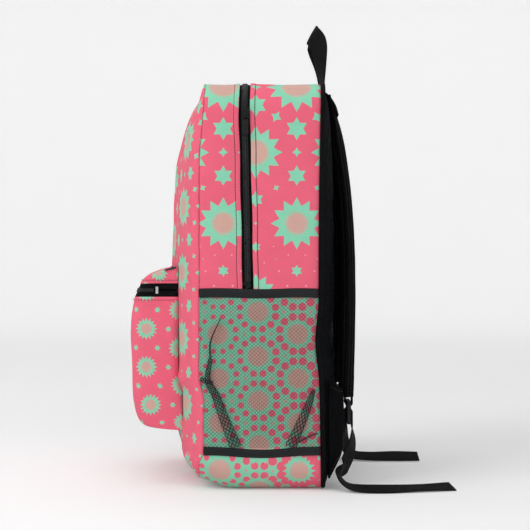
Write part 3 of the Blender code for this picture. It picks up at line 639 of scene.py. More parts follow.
def capsule(bits, a, b, up, wide, high, sides=6, ends=0.55):
    """A rounded bar from a to b, in bits, flattened along up. ends is the share of its section there."""
    axis = unit(b - a)
    side = unit(np.cross(axis, up))
    turn = np.arange(sides)[:, None] * (2 * math.pi / sides)
    ring = side * wide * np.cos(turn) + np.cross(side, axis) * high * np.sin(turn)
    verts = [a - axis * wide * 0.3]
    for t, share in ((0.0, ends), (0.22, 1.0), (0.78, 1.0), (1.0, ends)):
        verts.extend(a + (b - a) * t + ring * share)
    verts.append(b + axis * wide * 0.3)
    faces = [(0, 1 + (k + 1) % sides, 1 + k) for k in range(sides)]
    faces += [tuple(1 + k for k in face) for face in grid_faces(4, sides, True)]
    last = len(verts) - 1
    faces += [(last, last - sides + k, last - sides + (k + 1) % sides) for k in range(sides)]
    bits.add(verts, faces)


def tube(bits, path, up, wide, high, sides=8, closed_ends=True):
    """A swept oval section along a path, in bits. up may be one vector or one for each point."""
    path = np.asarray(path, float)
    along = unit(np.gradient(path, axis=0))
    side = unit(np.cross(along, up))
    lift = np.cross(side, along)
    turn = (np.arange(sides)[:, None] + 0.5) * (2 * math.pi / sides)
    rings = path[:, None] + side[:, None] * wide * np.cos(turn) + lift[:, None] * high * np.sin(turn)
    faces = grid_faces(len(path), sides, True)
    if closed_ends:
        faces += end_caps(len(path), sides)
    bits.add(rings.reshape(-1, 3), faces)


def ribbon(name, path, across, width=WEBBING_WIDE, look="webbing", thick=WEBBING, columns=9, crown=0.0):
    """Flat webbing along a path, with softly rounded selvedges."""
    path = np.asarray(path, float)
    along = unit(np.gradient(path, axis=0))
    across = unit(across - along * np.sum(across * along, axis=1, keepdims=True))
    facing = np.cross(along, across)[:, None]
    spread = np.sin(np.linspace(-math.pi / 2, math.pi / 2, columns))[:, None]
    grid = path[:, None] + across[:, None] * (width / 2 * spread) + facing * (crown * (1 - spread ** 2))
    uv = together(width / 2 * spread[:, 0], run_along(path)[:, None])
    selvedge = np.where(np.abs(spread) > 0.999, 0.55, 1.0)
    top, under = (grid + facing * (thick * sign * selvedge) for sign in (0.5, -0.5))
    loop = np.concatenate([top, under[:, ::-1]], axis=1)
    loop_uv = np.concatenate([uv, uv[:, ::-1]], axis=1)
    faces = grid_faces(len(path), 2 * columns, True) + end_caps(len(path), 2 * columns)
    return add_object(name, loop.reshape(-1, 3), faces, [LOOKS[look]], loop_uv)


def place(made, body, slot, *nodes):
    """Puts a finished piece on its body. A body given as (name, start, end) doesn't bend the piece or
    put it on a body: only the piece's transform is baked in."""
    if isinstance(body, tuple):
        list(body)
        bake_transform(made)
    else:
        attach(made, body)
    if nodes:
        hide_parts(*nodes)


def sew(name, body, slot, lines, look="black_thread", pitch=0.0034, share=0.75, radius=0.0003, lift=0.00012):
    """Rows of lock stitches, each a short rounded bar that dips at its ends.

    A line is its points and its outward vectors, and share is how much of the pitch a stitch fills."""
    bits = Bits()
    for points, ups in lines:
        run, ups = run_along(points), np.broadcast_to(ups, points.shape)
        for k in range(int(run[-1] / pitch)):
            places = (k * pitch, (k + share) * pitch)
            first_up, last_up = (unit(sample(at, run, ups)) for at in places)
            first, last = (sample(at, run, points) for at in places)
            capsule(bits, first + first_up * lift, last + last_up * lift, first_up, radius, radius * 0.8, 5)
    place(bits.make(name, look), body, slot)


def facing_out(vectors, points, inside):
    """The vectors at the points, all turned round if they look towards the point inside."""
    return vectors * np.sign(np.sum(vectors * (points - np.array(inside))))


# ---------------------------------------------------------------- outline of the bag

def front_seam(z):
    """Where the side meets the front panel; the full bottle pocket pulls it back near its foot."""
    pulled = 0.0050 * smooth((0.128 - z) / 0.022) * smooth((z - 0.030) / 0.014)
    return FRONT_SEAM + 0.006 * smooth((z - 0.36) / 0.10) + pulled


def back_plane(z):
    return BACK_SEAM + 0.003 * ((z - TOP / 2) / (TOP / 2)) ** 2


def waist(z):
    """How far the side's rear seam is drawn in where the bottle pocket is slack."""
    return 0.0042 * np.exp(-((z - 0.168) / 0.030) ** 2)


def back_seam(z):
    return back_plane(z) - waist(z)


def base_rise(y):
    return FRONT_RISE * smooth((-0.028 - y) / 0.042)


def outline_path(start, radius, level):
    """Rows of x, z and the outward normal of a rounded U. It starts on the right at height start,
    turns at height level, which may lie above or below, and comes back to start on the left."""
    up = 1.0 if level > start else -1.0
    bend, span = level - up * radius, HALF_WIDTH - radius
    right = [(HALF_WIDTH, z, 1.0, 0.0) for z in np.linspace(start, bend, 55)[:-1]]
    for turn in np.linspace(0, math.pi / 2, 15):
        out, rising = math.cos(turn), up * math.sin(turn)
        right.append((span + radius * out, bend + radius * rising, out, rising))
    right += [(x, level, 0.0, up) for x in np.linspace(span, 0.0, int(span / 0.006))[1:-1]]
    left = [(-x, z, -out, rising) for x, z, out, rising in reversed(right)]
    return np.array([*right, (0.0, level, 0.0, up), *left])


def off_outline(path, y, out):
    """Points at y that stand off an outline path."""
    return together(path[:, 0] + path[:, 2] * out, y, path[:, 1] + path[:, 3] * out)


def outline_normals(path):
    return together(path[:, 2], 0.0, path[:, 3])


def seam_dip(distance, depth=0.0014):
    """Cloth turns in where it is sewn to its neighbour."""
    return -depth * np.exp(-np.maximum(distance, 0.0) / 0.0016)


def pucker(run, distance, seed, depth=0.00045, reach=0.010):
    """Small gathers along a seam, fading away from it."""
    wave = np.sin(run / 0.0042 + 2.0 * np.sin(run / 0.019 + seed))
    uneven = 0.6 + 0.4 * np.sin(run / 0.031 + 2 * seed)
    return depth * wave * uneven * np.exp(-distance / reach)


def zip_sway(z):
    """The zip isn't quite plumb: it drifts back a few millimetres towards its foot."""
    return np.interp(z, (0.23, 0.30, 0.38, 0.42, 0.46), (0.0027, 0.0016, -0.0001, -0.0012, -0.0007))


def strip_height(path, run, y, side, edge, far):
    """How far a side strip's cloth stands off the bag's outline, at y, between the zip's edge and
    the outer seam: a soft swell, a turned edge along the zip and small gathers by the seams."""
    share = np.clip((y - edge) / (far - edge), 0.0, 1.0)
    from_zip, from_seam = np.abs(y - edge), np.abs(far - y)
    out = (0.0022 * path[:, 2] ** 2 - 0.0010 * path[:, 3] ** 2) * np.sin(math.pi * share) ** 0.8
    out = out + seam_dip(from_seam, 0.0022) + pucker(run, from_seam, 1.0 + side)
    out = out + 0.0006 * smooth((0.0054 - from_zip) / 0.0010)
    out = out + pucker(run, np.maximum(0.0, from_zip - 0.0046), 3.0 + side, 0.0003, 0.006)
    wave = 0.0009 * ripple(off_outline(path, y, 0.0), 0.045, 1 + side)
    return out + wave * np.minimum(1.0, 6 * share) * np.minimum(1, 6 - 6 * share)


def side_strip(name, side, seam, look, spread, body, node):
    """The printed strip beside the main zip, from the right over the top to the left. side is -1 for
    the strip in front of the zip and 1 for the one behind, and seam gives its outer edge. spread
    lists shares of its width, from the zip to the outer seam."""
    path = outline_path(PRINT_FOOT, TOP_RADIUS, TOP)
    run = run_along(path[:, :2])
    edge = ZIP_Y + zip_sway(path[:, 1]) + side * (ZIP_EDGE + 0.0003 + 0.0003 * np.sin(run / 0.013 + side))
    far = seam(path[:, 1])

    def spots(y, inset=0.0):
        return off_outline(path, y, strip_height(path, run, y, side, edge, far) - inset)

    columns = [edge + (far - edge) * share for share in spread]
    grid = np.stack([spots(y) for y in columns], axis=1)
    uv = together(np.stack(columns, axis=1), (run + PRINT_FOOT)[:, None])
    place(cloth(name, grid, uv, look, (0, 0, 0.25)), body, "star_print", node)
    line = (spots(edge + side * 0.0056, 0.0001), outline_normals(path))
    sew(f"{name}_stitches", body, "star_print", [line], "thread", 0.0032, 0.94, 0.00052, 0.0001)


# Shares of the width of the strips in front of the main zip and behind it, closer by their edges.
FRONT_SPREAD = [0.0, 0.02, 0.05, 0.075, 0.092, 0.10, 0.115, 0.15, 0.22, 0.32, 0.43, 0.54, 0.65, 0.75,
                0.84, 0.91, 0.96, 0.985, 1.0]
REAR_SPREAD = [0.0, 0.012, 0.03, 0.045, 0.057, 0.064, 0.075, 0.10, 0.15, 0.21, 0.28, 0.36, 0.44, 0.52,
               0.60, 0.68, 0.76, 0.83, 0.89, 0.94, 0.975, 0.99, 1.0]


def build_sides():
    side_strip("side_strip_front", -1.0, front_seam, "front_strip", FRONT_SPREAD, FOLD, "zip_gusset_front")
    side_strip("side_strip_rear", 1.0, back_seam, "rear", REAR_SPREAD, "bag_body", "zip_gusset_rear")
    build_lower_side()


def build_lower_side():
    """The densely printed piece behind the bottle pockets and under the bag."""
    head = BAND_LOW + 0.0035
    columns, coordinates = [], []
    for share in [0.0, 0.01, 0.03, *np.linspace(0.06, 0.94, 24), 0.97, 0.99, 1.0]:
        low_y = front_seam(0.1) + (back_seam(0.1) - front_seam(0.1)) * share
        path = outline_path(head, BOTTOM_RADIUS, base_rise(low_y))
        run, z = run_along(path[:, :2]), path[:, 1]
        front, back = front_seam(z), back_seam(z)
        y = front + (back - front) * share
        edge = np.minimum(y - front, back - y)
        out = 0.0012 * math.sin(math.pi * share) * smooth(z / 0.04)
        out = out + seam_dip(edge) + pucker(run, edge, 5.0, 0.0004)
        calm = min(1.0, 8 * share, 8 * (1 - share)) * smooth(z / 0.03)
        out = out + 0.0008 * ripple(off_outline(path, y, 0.0), 0.05, 6) * calm
        spots = off_outline(path, y, out)
        spots[:, 2] = np.maximum(spots[:, 2], 0.0003)
        columns.append(spots)
        coordinates.append(together(y, head - run))
    grid, uv = np.stack(columns, axis=1), np.stack(coordinates, axis=1)
    made = cloth("side_and_base", grid, uv, "dense", (0, 0, 0.3))
    place(made, "bag_body", "dense_star_print", "side_and_base_gusset")


# ---------------------------------------------------------------- zips

ZIP_PITCH = 0.0018


def zip_line(side, offset, lift):
    """Points and normals that follow the main zip at a distance from its middle."""
    path = outline_path(BAND_HIGH, TOP_RADIUS, TOP)
    y = ZIP_Y + zip_sway(path[:, 1]) + side * offset
    return off_outline(path, y, lift), outline_normals(path)


def zip_teeth(bits, line, side, slope, start, first, reach, ends):
    """One side's teeth of a zip along a line, which interlock with the other side's half a pitch on.

    slope is the way across the zip, and first the number of the first tooth."""
    points, ups = line
    run = run_along(points)
    outward = np.array(slope) * side
    for k in range(first, int(run[-1] / ZIP_PITCH) - max(first, 1)):
        at = (k + (0.5 if side > 0 else 0.0)) * ZIP_PITCH + start
        spot = sample(at, run, points)
        near, far = spot - outward * 0.0004, spot + outward * reach
        capsule(bits, near, far, sample(at, run, ups), 0.00052, 0.00075, ends=ends)


def build_main_zip():
    """The two halves of the main zip, each a tape with a coil of teeth and its cord."""
    offsets = np.array([0.0007, 0.0022, 0.0040, ZIP_EDGE * 0.9, ZIP_EDGE + 0.0010])
    run = run_along(outline_path(BAND_HIGH, TOP_RADIUS, TOP)[:, :2])
    for name, side, body in (("front", -1.0, FOLD), ("rear", 1.0, "bag_body")):
        lines = [zip_line(side, offset, -0.0010 - 0.0002 * k)[0] for k, offset in enumerate(offsets)]
        grid, uv = np.stack(lines, axis=1), together(offsets, run[:, None])
        tape = cloth(f"main_zip_tape_{name}", grid, uv, "tape", (0, 0, 0.25), 0.0008, "tape")
        place(tape, body, "zip_tape", f"main_zip_tape_{name}")
        bits = Bits()
        zip_teeth(bits, zip_line(side, 0.0, -0.0004), side, (0, 1, 0), 0.0006, 0, 0.0025, 0.7)
        tube(bits, *zip_line(side, 0.0029, -0.0006), 0.00035, 0.00035, 6)
        place(bits.make(f"main_zip_coil_{name}", "coil"), body, "zip_tape")


def dress_node(node, look, bevel=0.0004):
    """A CAD piece whose shape is right: rounded edges and a finished material."""
    found = frame["nodes"][node]
    found.data.materials.clear()
    found.data.materials.append(LOOKS[look])
    round_off = found.modifiers.new("rounded", "BEVEL")
    round_off.width = bevel
    round_off.segments = 2
    round_off.limit_method = "ANGLE"
    round_off.angle_limit = math.radians(35)
    round_off.use_clamp_overlap = True


# ---------------------------------------------------------------- front panel

def half_width_at(z, low):
    """Half the width at z of the bag's outline, whose foot is at low."""
    found = np.full_like(z, HALF_WIDTH, dtype=float)
    for radius, depth in ((BOTTOM_RADIUS, z - low), (TOP_RADIUS, TOP - z)):
        depth = np.maximum(0.0, depth)
        turned = HALF_WIDTH - radius + np.sqrt(np.maximum(0.0, radius ** 2 - (radius - depth) ** 2))
        found = np.where(depth < radius, np.minimum(found, turned), found)
    return found


def front_surface(x, z):
    """The y of the domed front panel."""
    side = half_width_at(z, FRONT_RISE) - np.abs(x)
    dome = FRONT_DOME * swell(side, HALF_WIDTH) * rise(TOP - z, 0.047) * swell(z - FRONT_RISE, 0.075)
    return front_seam(z) - 0.0004 - dome


def clustered(count, power):
    """Places from -1 to 1, closer together towards both ends."""
    share = np.linspace(-1, 1, count)
    return np.sign(share) * (1 - (1 - np.abs(share)) ** power)


def panel_grid(low, rows, row_power, columns, column_power):
    """x and z over the bag's outline above low, the distance to its side and to its nearest edge."""
    z = low + 0.5 * (1 + clustered(rows, row_power)) * (TOP - low)
    half = half_width_at(z, low)[:, None]
    x = half * clustered(columns, column_power)
    z = np.repeat(z[:, None], columns, axis=1)
    side = half - np.abs(x)
    return x, z, side, np.minimum(side, np.minimum(TOP - z, z - low))


def build_front_panel():
    rows, columns = 130, 81
    x, z, _, edge = panel_grid(FRONT_RISE, rows, 1.6, columns, 1.8)
    grid = together(x, front_surface(x, z), z)
    sag = 0.0020 * ripple(grid, 0.085, 11) + 0.0009 * ripple(grid, 0.032, 12)
    grid[:, :, 1] -= sag * smooth((edge - 0.004) / 0.03)
    grid[:, :, 1] += 0.0010 * np.exp(-np.maximum(edge, 0.0) / 0.0014)
    run = np.cumsum(np.abs(np.gradient(z, axis=0)), axis=0)
    grid[:, :, 1] -= pucker(run, edge, 2.0, 0.0004, 0.008)
    uv = arc_uv(grid, rows // 2, columns // 2, (0.0, z[rows // 2, 0]))
    fill = (edge < 0.006, 0.6, 0.012, 0.0018)
    made = cloth("front_panel", grid, uv, "panel", (0, 0.2, 0.24), fill=fill)
    place(made, FOLD, "star_print", "front_panel_lower", "front_panel_upper")


# ---------------------------------------------------------------- front pocket

# Height and front face of the pocket down its middle, from its bottom seam to its top seam.
POCKET_VIEW = [(0.0640, -0.1060), (0.0646, -0.1200), (0.0665, -0.1320), (0.0720, -0.1400),
               (0.0830, -0.1452), (0.1040, -0.1490), (0.1350, -0.1508), (0.1650, -0.1514),
               (0.1950, -0.1505), (0.2182, -0.1475)]
HOOD_VIEW = [(0.2337, -0.1410), (0.2400, -0.1360), (0.2460, -0.1290), (0.2502, -0.1200),
             (0.2520, -0.1120), (0.2526, -0.1082)]
POCKET_MIDDLE = (0, -0.10, 0.16)


def pocket_seat(x, z):
    """The y at which the pocket's cloth would lie flat on the front panel."""
    return front_surface(x, z) - 0.0020


def pocket_row(z, front, count=16):
    """Points round the pocket at one height, from its right seam over the front to the left seam.
    Its full section is a rounded box, drawn back to the panel's curve where it stands off little."""
    flat, corner = POCKET_HALF - POCKET_CORNER, POCKET_FRONT + POCKET_CORNER
    full = [(POCKET_HALF, y) for y in np.linspace(pocket_seat(POCKET_HALF, z), corner, 8)[:-1]]
    for turn in np.linspace(0, math.pi / 2, 9):
        full.append((flat + POCKET_CORNER * math.cos(turn), corner - POCKET_CORNER * math.sin(turn)))
    full += [(x, POCKET_FRONT - POCKET_BOW * (1 - (x / flat) ** 4)) for x in np.linspace(flat, 0, count)[1:]]
    x, y = np.array(full).T
    seats = pocket_seat(x, z)
    stand = min(1.0, max(0.04, (seats[-1] - front) / (seats[-1] - POCKET_FRONT)))
    drawn = seats + (y - seats) * stand
    moved = np.minimum(seats, y + front - POCKET_FRONT)
    y = drawn + (moved - drawn) * smooth((stand - 0.4) / 0.3)
    y[0] = front_surface(POCKET_HALF, z) - 0.0004
    right = together(x, y, z)
    return np.concatenate([right, right[-2::-1] * (-1, 1, 1)])


def pocket_sheet(name, view, look, seed, node):
    rows = catmull(view, 5)
    grid = np.array([pocket_row(z, front) for z, front in rows])
    facing = unit(np.cross(np.gradient(grid, axis=0), np.gradient(grid, axis=1)))
    run = arc_uv(grid)[:, :, 0]
    seam = np.minimum(run, run[:, -1:] - run)
    wave = 0.0014 * ripple(grid, 0.050, seed) + 0.0005 * ripple(grid, 0.022, seed + 1)
    out = wave * smooth(seam / 0.012) + seam_dip(seam, 0.0008)
    grid = grid + facing_out(facing, grid, POCKET_MIDDLE) * out[:, :, None]
    uv = arc_uv(grid, len(rows) // 2, 0, (0.0, rows[len(rows) // 2][0]))
    held = seam < 0.004
    held[0] = held[-1] = True
    made = cloth(name, grid, uv, look, POCKET_MIDDLE, fill=(held, 0.5, 0.015, 0.0020))
    place(made, "bag_body", "star_print", node)


def pocket_zip_line(height, lift):
    """Points and normals round the pocket at a share of the zip's height."""
    z = POCKET_ZIP_LOW + height * (POCKET_ZIP_HIGH - POCKET_ZIP_LOW)
    row = pocket_row(z, -0.1475 + 0.0065 * height, 40)
    along = np.gradient(row, axis=0)
    up = facing_out(unit(together(along[:, 1], -along[:, 0], 0.0)), row, (0, -0.10, z))
    return row + up * lift, up


def build_pocket():
    pocket_sheet("front_pocket_body", POCKET_VIEW, "pocket", 21, "front_pocket_shell")
    pocket_sheet("front_pocket_hood_cloth", HOOD_VIEW, "hood", 31, "front_pocket_hood")
    lower = [-0.12, 0.0, 0.18, 0.34, 0.46]
    for name, levels in (("lower", lower), ("upper", [1 - share for share in reversed(lower)])):
        grid = np.stack([pocket_zip_line(level, -0.0010)[0] for level in levels])
        made = cloth(f"pocket_zip_tape_{name}_cloth", grid, arc_uv(grid)[:, :, ::-1], "tape",
                     (0, -0.10, 0.22), 0.0008, "tape")
        place(made, "bag_body", "zip_tape", f"pocket_zip_tape_{name}")
    bits = Bits()
    for side in (-1, 1):
        zip_teeth(bits, pocket_zip_line(0.5, -0.0004), side, (0.0, 0.40, 0.92), 0.0, 16, 0.0024, 0.55)
    place(bits.make("pocket_zip_coil", "coil"), "bag_body", "zip_tape")
    lines = [pocket_zip_line(level, 0.0001) for level in (-0.28, 1.28)]
    sew("pocket_zip_stitches", "bag_body", "star_print", lines, "thread", 0.0032, 0.78, 0.00027)


# ---------------------------------------------------------------- bottle pockets

# The two folds in the net: shares of its height, the fold's place across the net and its strength
# there, and how far it stands out.
NET_FOLDS = [
    ((0.0, 0.12, 0.25, 0.38, 0.46, 0.60, 0.75, 1.0), (0.30, 0.24, 0.17, 0.12, 0.08, 0.07, 0.12, 0.16),
     (1.0, 1.0, 1.0, 0.9, 0.6, 0.3, 0.1, 0.0), 0.0014),
    ((0.0, 0.10, 0.20, 0.32, 0.42, 1.0), (0.76, 0.82, 0.87, 0.93, 0.96, 0.98),
     (1.0, 1.0, 0.8, 0.5, 0.0, 0.0), 0.0012),
]
# How wide a fold is and how far it draws the threads to it, as shares of the net's width.
NET_FOLD_WIDTH = 0.060
NET_FOLD_GATHER = 0.022

# The middle line (y, z) of each gathered band of the net, its width at both ends as a share, and
# its width.
NET_PLEATS = [
    ([(-0.0560, 0.1500), (-0.0590, 0.1260), (-0.0500, 0.1080), (-0.0400, 0.0815), (-0.0270, 0.0500)],
     (0.35, 1.15), 0.0115),
    ([(-0.0675, 0.1275), (-0.0600, 0.1240), (-0.0530, 0.1225)], (0.7, 0.6), 0.0065),
    ([(-0.0450, 0.1950), (-0.0560, 0.1690), (-0.0560, 0.1500)], (0.15, 0.8), 0.0028),
    ([(0.0600, 0.1150), (0.0530, 0.0950), (0.0340, 0.0500)], (0.35, 1.15), 0.0110),
    ([(0.0640, 0.0660), (0.0540, 0.0620), (0.0430, 0.0560)], (0.5, 0.6), 0.0030),
]


def net_edges(z):
    return front_seam(z) + 0.0015, back_seam(z) - 0.0015


def net_bulge(share, up):
    """How far the net stands off the bag's side."""
    return 0.0010 + 0.0042 * (math.sin(math.pi * share) * math.sin(math.pi * up) ** 0.7)


def net_point(sign, share, up):
    """A point of the bottle pocket's net: share runs front to back, up from hem to band."""
    z = NET_BOTTOM + up * (BAND_LOW - NET_BOTTOM)
    front, back = net_edges(z)
    x, y = HALF_WIDTH + net_bulge(share, up), front + (back - front) * share
    for heights, middles, strengths, lift in NET_FOLDS:
        strength = np.interp(up, heights, strengths)
        away = (share - np.interp(up, heights, middles)) / max(NET_FOLD_WIDTH * strength, 1e-4)
        pull = strength * math.exp(-away * away)
        x += lift * pull
        y -= NET_FOLD_GATHER * away * pull * (back - front)
    return sign * x, y, z


def net_strands(bits, point, columns, rows, radius):
    """Strands that zigzag between columns and meet their neighbours, so that the gaps are diamonds.
    point places a share of the way across and a share of the way along."""
    for j in range(columns + 1):
        path = []
        for k in range(rows + 1):
            lean = 0.42 if (j + k) % 2 else -0.42
            path.append(point(min(max(j + lean, 0.0), columns) / columns, k / rows))
        tube(bits, path, (1.0, 0.0, 0.0), radius, radius * 0.8, 4, False)


def build_net(side, sign):
    bits = Bits()
    net_strands(bits, lambda share, up: net_point(sign, share, up), 58, 84, 0.00029)
    place(bits.make(f"bottle_net_{side}", "net"), "bag_body", "black_net", f"bottle_pocket_net_{side}")
    build_net_pleats(side, sign)
    build_net_tape("band", side, sign, BAND_LOW - 0.0008, BAND_HIGH, 0.0, (0.30,))
    build_net_tape("hem", side, sign, HEM_LOW, NET_BOTTOM + 0.0006, 0.0016, (-0.30, 0.30))


def build_net_tape(name, side, sign, low, high, sag, levels):
    """Elastic tape along the net, with a row of stitches at each level, a share of its width."""
    middle, step = 0.5 * (low + high), np.linspace(0, 1, 40)
    front, back = net_edges(middle)
    y = front - 0.0006 + (back - front + 0.0012) * step
    bend = 0.0006 * np.sin(3 * math.pi * step) - sag * np.sin((math.pi + 1.2) * step - 0.6)
    path = together(sign * (HALF_WIDTH + 0.0013 + 0.0004 * np.sin(9 * step)), y, middle + bend)
    made = ribbon(f"bottle_pocket_{name}_{side}_tape", path, (0, 0, 1), high - low, "elastic", 0.0016, 11,
                  0.0004 * sign)
    place(made, "bag_body", "black_webbing", f"bottle_pocket_{name}_{side}")
    lines = [(path + (sign * 0.0010, 0.0, level * (high - low)), (sign, 0.0, 0.0)) for level in levels]
    sew(f"bottle_pocket_{name}_{side}_stitches", "bag_body", "black_webbing", lines, pitch=0.0030,
        radius=0.00024)


def pleat_point(sign, line, width, ends, shift):
    """Gives the function that places one layer of a pleat. line is the pleat's middle, and ends
    holds the shares of its width at both its ends. A layer with a shift across lies on top."""
    steps = np.linspace(0, 1, len(line))
    along = unit(np.gradient(line, axis=0))
    across = together(along[:, 1], -along[:, 0])

    def point(share, up):
        half = width / 2 * (ends[0] + (ends[1] - ends[0]) * up)
        y, z = sample(up, steps, line) + sample(up, steps, across) * half * (2 * (share + shift) - 1)
        front, back = net_edges(z)
        height = min(1.0, max(0.0, (z - NET_BOTTOM) / (BAND_LOW - NET_BOTTOM)))
        place_across = min(0.99, max(0.01, (y - front) / (back - front)))
        lift = 0.0014 + (0.0009 if shift else 0.0)
        return sign * (HALF_WIDTH + net_bulge(place_across, height) + lift), min(back, max(front, y)), z

    return point


def build_net_pleats(side, sign):
    """Where the net is gathered it lies double: two closer layers of it along each fold."""
    bits = Bits()
    for places, ends, width in NET_PLEATS:
        line = catmull(places, 8)
        rows = max(3, int(run_along(line)[-1] / 0.0022))
        columns = max(2, int(width / 0.0021))
        for shift in (0.0, 0.3 / columns):
            net_strands(bits, pleat_point(sign, line, width, ends, shift), columns, rows, 0.00038)
    place(bits.make(f"bottle_net_pleats_{side}", "net"), "bag_body", "black_net")


# ---------------------------------------------------------------- padded back

# The channels sewn into the padding: two upright ones, and arched ones between them.
CHANNEL_X = 0.052
CHANNEL_LEVELS = (0.105, 0.205, 0.305, 0.395)
CHANNEL_DEPTH = 0.0045
CHANNEL_WIDTH = 0.0045
# Where the stitches lie: just above the bottom of a channel.
SEWN_IN = 0.0003 - CHANNEL_DEPTH


def back_surface(x, z):
    """The y of the padded back."""
    side = half_width_at(z, 0.0) - np.abs(x)
    dome = BACK_DOME * rise(side, 0.016) * rise(TOP - z, 0.075) * rise(z, 0.030)
    return back_plane(z) - waist(z) * np.exp(-side / 0.025) + 0.0036 + dome


def groove(distance):
    return np.exp(-(distance / CHANNEL_WIDTH) ** 2)


def channel_arch(x):
    """How far the channels across the back rise above their ends."""
    return 0.010 * np.cos(x / CHANNEL_X * math.pi / 2)


def back_channels(x, z):
    """1 in the channels sewn into the padding, and 0 between them."""
    found = np.maximum(groove(x + CHANNEL_X), groove(x - CHANNEL_X))
    for level in CHANNEL_LEVELS:
        crossing = groove(z - level - channel_arch(x))
        found = np.maximum(found, np.where(np.abs(x) < CHANNEL_X, crossing, 0.0))
    return found


def back_line(x, z, out):
    """Points off the padded back, and the way that they face."""
    return together(x, back_surface(x, z) + out, z), (0, 1, 0)


def build_back():
    rows, columns = 150, 91
    x, z, side, edge = panel_grid(0.0, rows, 1.5, columns, 1.4)
    inner = smooth((side - 0.010) / 0.02) * smooth((TOP - z - 0.02) / 0.02) * smooth(z / 0.03)
    middle = np.exp(-(x / 0.05) ** 4) * smooth(z / 0.08) * smooth((TOP - z - 0.02) / 0.06)
    channel = back_channels(x, z) * inner
    grid = together(x, back_surface(x, z) + 0.0018 * middle - CHANNEL_DEPTH * channel, z)
    grid[:, :, 1] += 0.0006 * ripple(grid, 0.03, 41) * inner
    grid[:, :, 1] -= 0.0016 * np.exp(-np.maximum(edge, 0) / 0.002)
    uv = arc_uv(grid, rows // 2, columns // 2)
    fill = ((edge < 0.008) | (channel > 0.8), 1.5, 0.012, 0.0030)
    made = cloth("back_panel", grid, uv, "spacer", (0, -0.1, 0.23), CLOTH, "back", fill)
    place(made, "bag_body", "black_fabric", "back_panel_cover", "back_panel_foam")
    build_back_binding()
    height, across = np.linspace(0.030, 0.415, 90), np.linspace(-0.050, 0.050, 40)
    lines = [back_line(line, height, SEWN_IN) for line in (-CHANNEL_X, CHANNEL_X)]
    lines += [back_line(across, level + channel_arch(across), SEWN_IN) for level in CHANNEL_LEVELS]
    sew("back_stitches", "bag_body", "black_fabric", lines, pitch=0.0036, radius=0.00032)
    build_yoke()


def build_back_binding():
    """Tape round the edge of the back, where it meets the printed sides."""
    start = 0.2325
    over, under = outline_path(start, TOP_RADIUS, TOP), outline_path(start, BOTTOM_RADIUS, 0.0012)
    loop = np.concatenate([over, under[::-1]])
    path = off_outline(loop, back_seam(loop[:, 1]) + 0.0022, 0.0002)
    path[:, 2] = np.maximum(path[:, 2], 0.0022)
    bits = Bits()
    tube(bits, path, (0, 1, 0), 0.0017, 0.0026, 10, False)
    place(bits.make("back_binding", "binding"), "bag_body", "black_webbing")


def build_yoke():
    low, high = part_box("strap_yoke")
    x, z = np.linspace(low.x, high.x, 41), np.linspace(low.z, high.z, 12)[:, None]
    grid = back_line(x, z, 0.0013)[0]
    made = cloth("yoke", grid, arc_uv(grid), "back", (0, 0, 0.43), CLOTH, "back")
    place(made, "bag_body", "black_fabric", "strap_yoke")
    lines = [back_line(x, level, 0.0014) for level in (low.z + 0.003, high.z - 0.003)]
    sew("yoke_stitches", "bag_body", "black_fabric", lines)


# ---------------------------------------------------------------- shoulder straps

# The strap's middle line (y, z) from its root to its lower end, and that of its root's cover.
STRAP_LINE = [(0.0800, 0.4545), (0.0905, 0.4120), (0.1005, 0.3420), (0.1047, 0.2450), (0.1018, 0.1025)]
ROOT_LINE = [(0.0660, 0.4622), (0.0715, 0.4602), (0.0778, 0.4568), (0.0836, 0.4506), (0.0885, 0.4420),
             (0.0915, 0.4320)]
STRAP_X = 0.060

# Where the stitches run beside the strap's bound edges, as a share of its half width.
STRAP_STITCH = 0.80


def strap_sections(sign):
    """The strap's middle line, its half width and thickness, and the way that its face looks."""
    line = catmull(STRAP_LINE, 22)
    top, end = STRAP_LINE[0][1], STRAP_LINE[-1][1]
    down = (top - line[:, 1]) / (top - end)
    half = 0.017 + 0.014 * smooth((1 - down) / 0.22)
    thick = 0.0050 + 0.0125 * smooth(down / 0.18)
    x = sign * (STRAP_X + 0.038 * smooth(down))
    centre = together(x, line[:, 0] - 0.0026 * smooth(down / 0.18), line[:, 1])
    facing = unit(np.cross(np.gradient(centre, axis=0), (1.0, 0.0, 0.0)))
    return centre, half, thick, facing * np.sign(facing[:, 1:2])


def strap_crown(share):
    """How full the padding is across the strap, as a share of its thickness in the middle."""
    return 0.96 * (1 - np.abs(share) ** 3.2) ** 0.8


